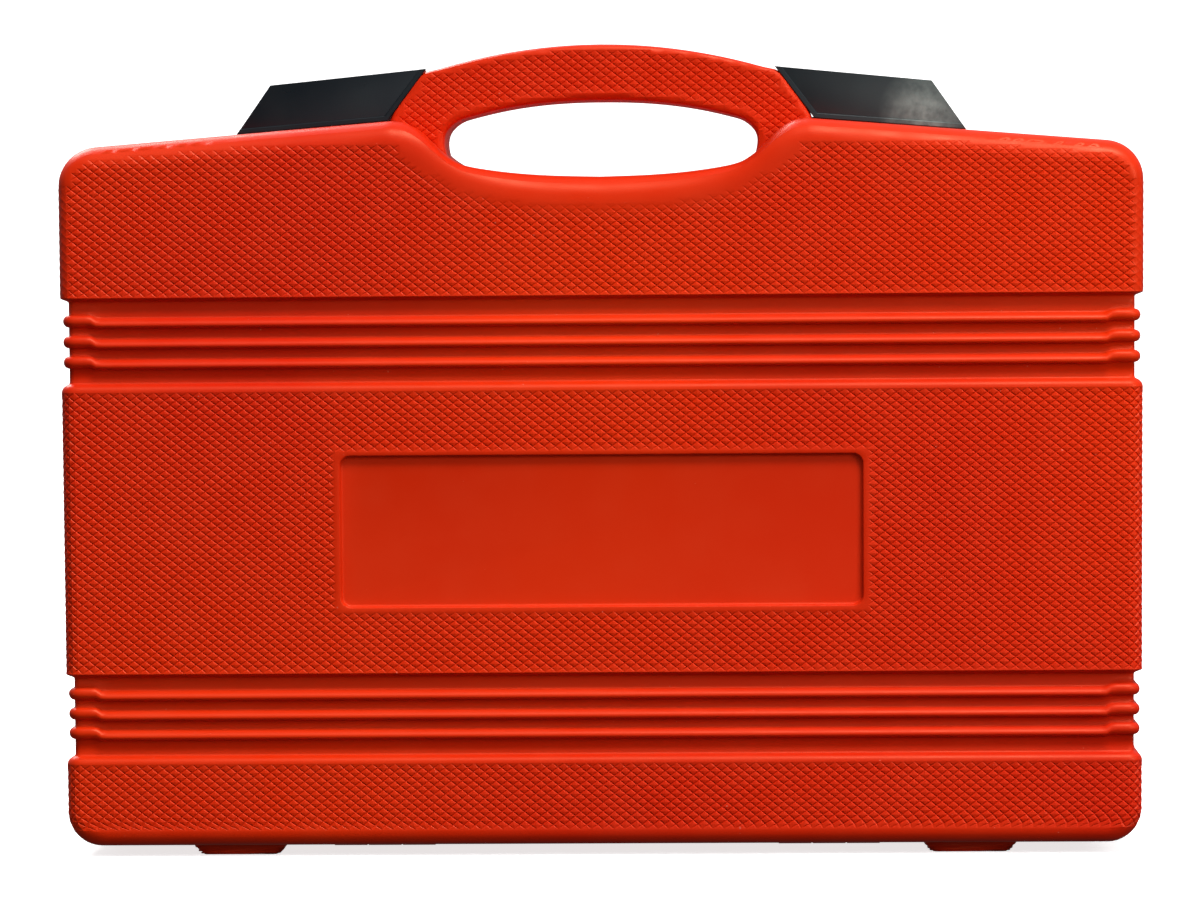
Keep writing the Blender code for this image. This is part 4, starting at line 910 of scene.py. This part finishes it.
def rubber_material():
    """Black grip rubber, fine-grained."""
    made, tree, shader = new_material("rubber_grip", (0.02, 0.02, 0.022), 0.6)
    dust = spread(tree, noise(tree, 120.0, 4.0), 0.5, 0.8, 0.0, 0.5)
    colour = blend_colours(tree, dust, (0.017, 0.017, 0.019), (0.045, 0.044, 0.043))
    link(tree, colour, shader.inputs["Base Color"])
    vary_roughness(tree, shader, 200.0, 0.52, 0.72)
    bump(tree, shader, noise(tree, 1200.0, 2.0), 0.3, 0.0002)
    return made


def tray_material():
    """Black moulded sheet with a fine grain."""
    made, tree, shader = new_material("tray_plastic_moulded", (0.025, 0.025, 0.027), 0.5)
    dust = spread(tree, noise(tree, 80.0, 4.0), 0.45, 0.8, 0.0, 0.5)
    colour = blend_colours(tree, dust, (0.022, 0.022, 0.024), (0.05, 0.05, 0.05))
    link(tree, colour, shader.inputs["Base Color"])
    vary_roughness(tree, shader, 150.0, 0.42, 0.6)
    bump(tree, shader, noise(tree, 1800.0, 2.0), 0.25, 0.0002)
    return made


MATERIALS = {
    "case_plastic": case_material(),
    "tray_plastic": tray_material(),
    "latch_plastic": latch_material(),
    "chrome": chrome_material(),
    "steel": steel_material(),
    "grip_rubber": rubber_material(),
}


# ----- pieces


def place_piece(piece, body, slot_name, *nodes):
    """Give a piece the material named by its slot, put it in its body, and hide the CAD nodes it stands
    for.
    """
    piece.data.materials.clear()
    piece.data.materials.append(MATERIALS[slot_name])
    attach(piece, body)
    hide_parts(*nodes)
    return piece


CAD_SHOULDER = ((67.0, 264.9), (195.0, 253.8))  # inner and outer end of the CAD's shoulder


def shoulder_height(x):
    """Height of the CAD's sloping shoulder at some distance from the middle."""
    (inner_x, inner_z), (outer_x, outer_z) = CAD_SHOULDER
    return inner_z - (x - inner_x) * (inner_z - outer_z) / (outer_x - inner_x)


def hole_outline():
    """Outline of the handle's opening, from the body's crest and the handle."""
    crest, _, _ = top_edge()
    low = [(x, z) for x, z in crest if abs(x) < 56.0]
    _, inner = handle_edges()
    high = [(x, z) for x, z in inner if z > 254.0]
    return low[::-1] + high


def kept_clear(loop, x, z, room):
    """A point moved so that it lies outside a closed outline, at least room from it."""
    closed = loop + loop[:1]
    best = None
    for (x0, z0), (x1, z1) in zip(closed, closed[1:]):
        run = Vector((x1 - x0, z1 - z0))
        if run.length == 0.0:
            continue
        share = min(1.0, max(0.0, Vector((x - x0, z - z0)).dot(run) / run.length_squared))
        near = Vector((x0, z0)) + run * share
        distance = math.hypot(x - near.x, z - near.y)
        if best is None or distance < best[0]:
            best = (distance, near)
    distance, near = best
    is_inside = bool(inside(loop, x, z))
    if (not is_inside and distance >= room) or distance < 1e-6:
        return x, z
    outward = (Vector((x, z)) - near) * (-1.0 if is_inside else 1.0)
    moved = near + outward.normalized() * room
    return moved.x, moved.y


INSIDE_X = HALF_WIDTH - 6.0  # what lies further out belongs to the side walls
INSIDE = [(-INSIDE_X, 10.0), (INSIDE_X, 10.0), (INSIDE_X, 246.0), (72.0, 256.0), (56.0, 243.0)]
INSIDE += [(0.0, 238.0), (-56.0, 243.0), (-72.0, 256.0), (-INSIDE_X, 246.0)]
FLUSH = 0.05  # how far from a plane a face or point still counts as in it
HINGE_BOX = (21.0, 4.5, 8.4)  # half the knuckles' width, half their depth, their height
MOUNT_X = (79.0, 120.0)
MOUNT_Y = (0.4, 16.2)
OPENING_BOX = (60.0, 240.0, 275.0)  # half width, low and high end round the handle's opening
SIDE_RIM_X = 190.9  # the flat rim beyond this is drawn in
SIDE_RIM_IN = 0.6


def is_kept(face, side, tree):
    """Whether a CAD face shows as it is: on a knuckle, a mount, the rim or the inside."""
    centre = face.calc_center_median() / MM
    x = abs(centre.x)
    half_long, half_deep, top = HINGE_BOX
    near_hinge = abs(x - HINGE_X) < half_long and abs(centre.y) < half_deep and centre.z < top
    if near_hinge and abs(face.normal.y) < 0.98 and abs(centre.z - FLOOR_Z) > 0.02:
        return True
    above = MOUNT_X[0] < x < MOUNT_X[1] and centre.z > shoulder_height(x) + FLUSH
    if side > 0 and above and abs(centre.y) < MOUNT_Y[1] and centre.y > MOUNT_Y[0]:
        return True
    if abs(abs(centre.y) - PARTING) < FLUSH and face.normal.y * side < -0.9:
        return True
    start = face.calc_center_median() + face.normal * 0.00002
    is_open = tree.ray_cast(start, Vector((0.0, -side, 0.0)))[0] is None
    return bool(inside(INSIDE, centre.x, centre.z)) and is_open


def tray(node, side, name):
    """The inside of a half: rim, inner walls, knuckles and latch mounts of the CAD."""
    mesh = bmesh.new()
    mesh.from_mesh(frame["nodes"][node].data)
    mesh.transform(frame["nodes"][node].matrix_world)
    mesh.normal_update()
    tree = BVHTree.FromBMesh(mesh)
    dropped = [face for face in mesh.faces if not is_kept(face, side, tree)]
    bmesh.ops.delete(mesh, geom=dropped, context="FACES")
    hole = hole_outline()
    half_hole, hole_low, hole_high = OPENING_BOX
    for vert in mesh.verts:
        x = abs(vert.co.x) / MM
        z = vert.co.z / MM
        at_rim = abs(abs(vert.co.y) / MM - PARTING) < FLUSH
        if at_rim and x < half_hole and hole_low < z < hole_high:
            moved_x, moved_z = kept_clear(hole, x, z, RIM_ROOM)
            vert.co.x = math.copysign(moved_x * MM, vert.co.x)
            vert.co.z = moved_z * MM
        if at_rim and x > SIDE_RIM_X:
            vert.co.x -= math.copysign(SIDE_RIM_IN * MM, vert.co.x)
        vert.co.x = tapered(vert.co.x, z)
    return object_from(mesh, name)


def knuckle_gaps(side):
    """X ranges cut in a half's underside for the other half's hinge knuckles."""
    offsets = (-KNUCKLE_SPACING, KNUCKLE_SPACING) if side < 0 else (0.0,)
    ranges = []
    for middle in (-HINGE_X, HINGE_X):
        for offset in offsets:
            ranges.append((middle + offset - KNUCKLE_GAP, middle + offset + KNUCKLE_GAP))
    return ranges


def half_case(body, node, side):
    """All visible pieces of one half of the case."""
    lower = Surface()
    bottom(lower, knuckle_gaps(side))
    everywhere = np.ones((len(COLUMNS) - 1, len(FIRST_ROWS) - 1), bool)
    diamonds(lower, body_point, COLUMNS, FIRST_ROWS, everywhere)
    band(lower, *LOWER_GROOVE, LOWER_RIBS, FIRST_ROWS[-1], MIDDLE_ROWS[0])
    for foot_x in FEET_X:
        foot(lower, foot_x)
    middle = Surface()
    middle_block(middle, side < 0)
    upper = Surface()
    band(upper, *UPPER_GROOVE, UPPER_RIBS, MIDDLE_ROWS[-1], TOP_ROWS[0])
    upper_block(upper)
    handle(upper)
    if side < 0:
        latch_land(upper)
    for part, surface in (("lower", lower), ("middle", middle), ("upper", upper)):
        place_piece(surface.piece(f"{body}_skin_{part}", side), body, "case_plastic", node)
    place_piece(tray(node, side, f"{body}_tray"), body, "case_plastic", node)


half_case("lid", "lid_shell", -1)
half_case("base", "base_shell", 1)


def softened(node, body, slot_name, width):
    """A copy of a CAD node with rounded edges and smooth shading, in its place."""
    made = bpy.data.objects.new(f"{node}_finished", frame["nodes"][node].data.copy())
    bpy.context.scene.collection.objects.link(made)
    made.matrix_world = frame["nodes"][node].matrix_world
    mesh = bmesh.new()
    mesh.from_mesh(made.data)
    bmesh.ops.remove_doubles(mesh, verts=mesh.verts, dist=0.000002)
    flat = math.radians(1.0)
    bmesh.ops.dissolve_limit(mesh, angle_limit=flat, verts=mesh.verts, edges=mesh.edges)
    for face in mesh.faces:
        face.smooth = True
    mesh.to_mesh(made.data)
    mesh.free()
    edges = made.modifiers.new("edges", "BEVEL")
    edges.width = width * MM
    edges.segments = 2
    edges.limit_method = "ANGLE"
    edges.angle_limit = math.radians(33.0)
    edges.harden_normals = True
    return place_piece(made, body, slot_name, node)


# Across and proud of a latch's front: the part at negative across hangs past its edges as a dark strip
# of painted shade, the rest is the lip.
LIP_AND_SHADE_SECTION = ((-0.8, 0.0), (-0.8, 0.3), (-0.5, 0.6), (0.8, 0.6), (1.1, 0.3), (1.1, 0.0))


def latch_lip_and_shade_strip(node, body):
    """The raised lip along the lower and inner edges of a latch's front, mitred at its ends; its dark
    outer part reaches past those edges as a strip of painted shade over the gap beside the latch.
    """
    side, face_y, (outer_foot, inner_foot), (outer_top, inner_top) = latch_corners(node)
    path = [outer_foot, inner_foot, inner_top]
    runs = (Vector(path[1]) - Vector(path[0]), Vector(path[2]) - Vector(path[1]))
    normals = [Vector((run.y, -run.x)).normalized() for run in runs]
    corner = (normals[0] + normals[1]) / (1.0 + normals[0].dot(normals[1]))
    ends = [(Vector(outer_top) - Vector(path[k])).normalized() for k in (0, 2)]
    ends = [end / end.dot(normal) for end, normal in zip(ends, normals)]
    mesh = bmesh.new()
    rings = []
    for (x, z), inward in zip(path, (ends[0], corner, ends[1])):
        ring = []
        for across, proud in LIP_AND_SHADE_SECTION:
            px, pz = x + inward.x * across, z + inward.y * across
            ring.append(mesh.verts.new((side * px * MM, (face_y - proud) * MM, pz * MM)))
        rings.append(ring)
    for here, there in zip(rings, rings[1:]):
        for k in range(len(LIP_AND_SHADE_SECTION)):
            following = (k + 1) % len(LIP_AND_SHADE_SECTION)
            mesh.faces.new((here[k], here[following], there[following], there[k]))
    mesh.faces.new(rings[0])
    mesh.faces.new(rings[-1])
    bmesh.ops.recalc_face_normals(mesh, faces=mesh.faces)
    place_piece(object_from(mesh, f"{node}_lip"), body, "latch_plastic", node)


body_of_node = {}
for body, nodes in frame["record"]["behaviour"]["bodies"].items():
    for node in nodes:
        body_of_node[node] = body
slot_of_node = {}  # read for all nodes before any of them gets its finished material
for node, thing in frame["nodes"].items():
    slot_of_node[node] = thing.material_slots[0].material.name.split(".")[0]
PLAIN = ("ball", "stop", "screw", "hinge_pin", "latch_pin")  # shown with their CAD shape
LATCH_SOFTENING = 0.9
TOOL_SOFTENING = 0.35
for node in sorted(frame["nodes"]):
    if node in ("lid_shell", "base_shell"):
        continue
    slot_name = slot_of_node[node]
    if any(word in node for word in PLAIN):
        for slot in frame["nodes"][node].material_slots:
            slot.material = MATERIALS[slot_name]
    else:
        is_latch = node.startswith("latch")
        width = LATCH_SOFTENING if is_latch else TOOL_SOFTENING
        softened(node, body_of_node[node], slot_name, width)
        if is_latch:
            latch_lip_and_shade_strip(node, body_of_node[node])


# ----- stage


FLOOR_RADIUS = 3.0  # of the cove's flat floor, in metres
COVE_RADIUS = 2.0
COVE_HEIGHT = 8.0


def cove():
    """A round, near-white floor that curves up into a wall."""
    mesh = bmesh.new()
    profile = [(0.0, 0.0), (FLOOR_RADIUS, 0.0)]
    for step in range(1, 13):
        angle = math.radians(7.5 * step)
        rise = COVE_RADIUS * (1.0 - math.cos(angle))
        profile.append((FLOOR_RADIUS + COVE_RADIUS * math.sin(angle), rise))
    profile.append((FLOOR_RADIUS + COVE_RADIUS, COVE_HEIGHT))
    parts = 48
    rings = []
    for part in range(parts):
        turn = math.tau * part / parts
        rings.append([mesh.verts.new((r * math.cos(turn), r * math.sin(turn), z)) for r, z in profile])
    for part in range(parts):
        here, there = rings[part], rings[(part + 1) % parts]
        for k in range(len(profile) - 1):
            mesh.faces.new((here[k], here[k + 1], there[k + 1], there[k]))
    bmesh.ops.remove_doubles(mesh, verts=mesh.verts, dist=0.001)
    for face in mesh.faces:
        face.smooth = True
    sweep = object_from(mesh, "sweep")
    sweep.visible_diffuse = False
    sweep.visible_glossy = False
    paper, _, shader = new_material("sweep_paper", (0.9, 0.9, 0.9), 0.9)
    shader.inputs["Emission Color"].default_value = (1.0, 1.0, 1.0, 1.0)
    shader.inputs["Emission Strength"].default_value = 0.75
    sweep.data.materials.append(paper)


def lights():
    """Even light that is stronger from above, and soft lamps."""
    world = bpy.data.worlds.new("studio")
    world.use_nodes = True
    tree = world.node_tree
    background = tree.nodes["Background"]
    background.inputs["Color"].default_value = (1.0, 1.0, 1.0, 1.0)
    direction = tree.nodes.new("ShaderNodeSeparateXYZ")
    link(tree, tree.nodes.new("ShaderNodeTexCoord").outputs["Generated"], direction.inputs[0])
    strength = spread(tree, direction.outputs["Z"], -0.3, 0.8, 0.08, 0.5)
    link(tree, strength, background.inputs["Strength"])
    bpy.context.scene.world = world
    for name, place, size, power, target in (
        ("key", (0.9, -1.7, 3.7), 1.3, 163.0, (0.0, 0.0, 0.15)),
        ("side", (1.0, -0.95, 0.6), 0.6, 8.0, (0.0, 0.0, 0.12)),
        ("front", (0.3, -2.2, 0.5), 1.2, 2.5, (0.0, 0.0, 0.1)),
        ("back", (-1.3, 2.2, 2.6), 1.3, 90.0, (0.0, 0.0, 0.15)),
    ):
        lamp = bpy.data.lights.new(name, "AREA")
        lamp.shape = "DISK"
        lamp.size = size
        lamp.energy = power
        thing = bpy.data.objects.new(name, lamp)
        bpy.context.scene.collection.objects.link(thing)
        thing.location = place
        aim = Vector(target) - Vector(place)
        thing.rotation_euler = aim.to_track_quat("-Z", "Y").to_euler()


def camera():
    """A long lens at mid height, almost square to the front, with a slight roll."""
    lens = bpy.data.cameras.new("camera")
    thing = bpy.data.objects.new("camera", lens)
    bpy.context.scene.collection.objects.link(thing)
    distance = 2.2
    view_width = 0.4307
    yaw = math.radians(1.75)
    pitch = math.radians(1.54)
    roll = math.radians(0.39)
    lens.sensor_width = 36.0
    lens.lens = 36.0 * distance / view_width
    target = Vector((-0.0003, cad_low.y, 0.1458))
    level = math.cos(pitch)
    away = Vector((math.sin(yaw) * level, -math.cos(yaw) * level, math.sin(pitch)))
    thing.location = target + away * distance
    turn = (-away).to_track_quat("-Z", "Y").to_matrix()
    thing.rotation_euler = (turn @ Matrix.Rotation(-roll, 3, "Z")).to_euler()
    bpy.context.scene.camera = thing


cove()
lights()
camera()
bpy.context.scene.view_settings.view_transform = "Standard"
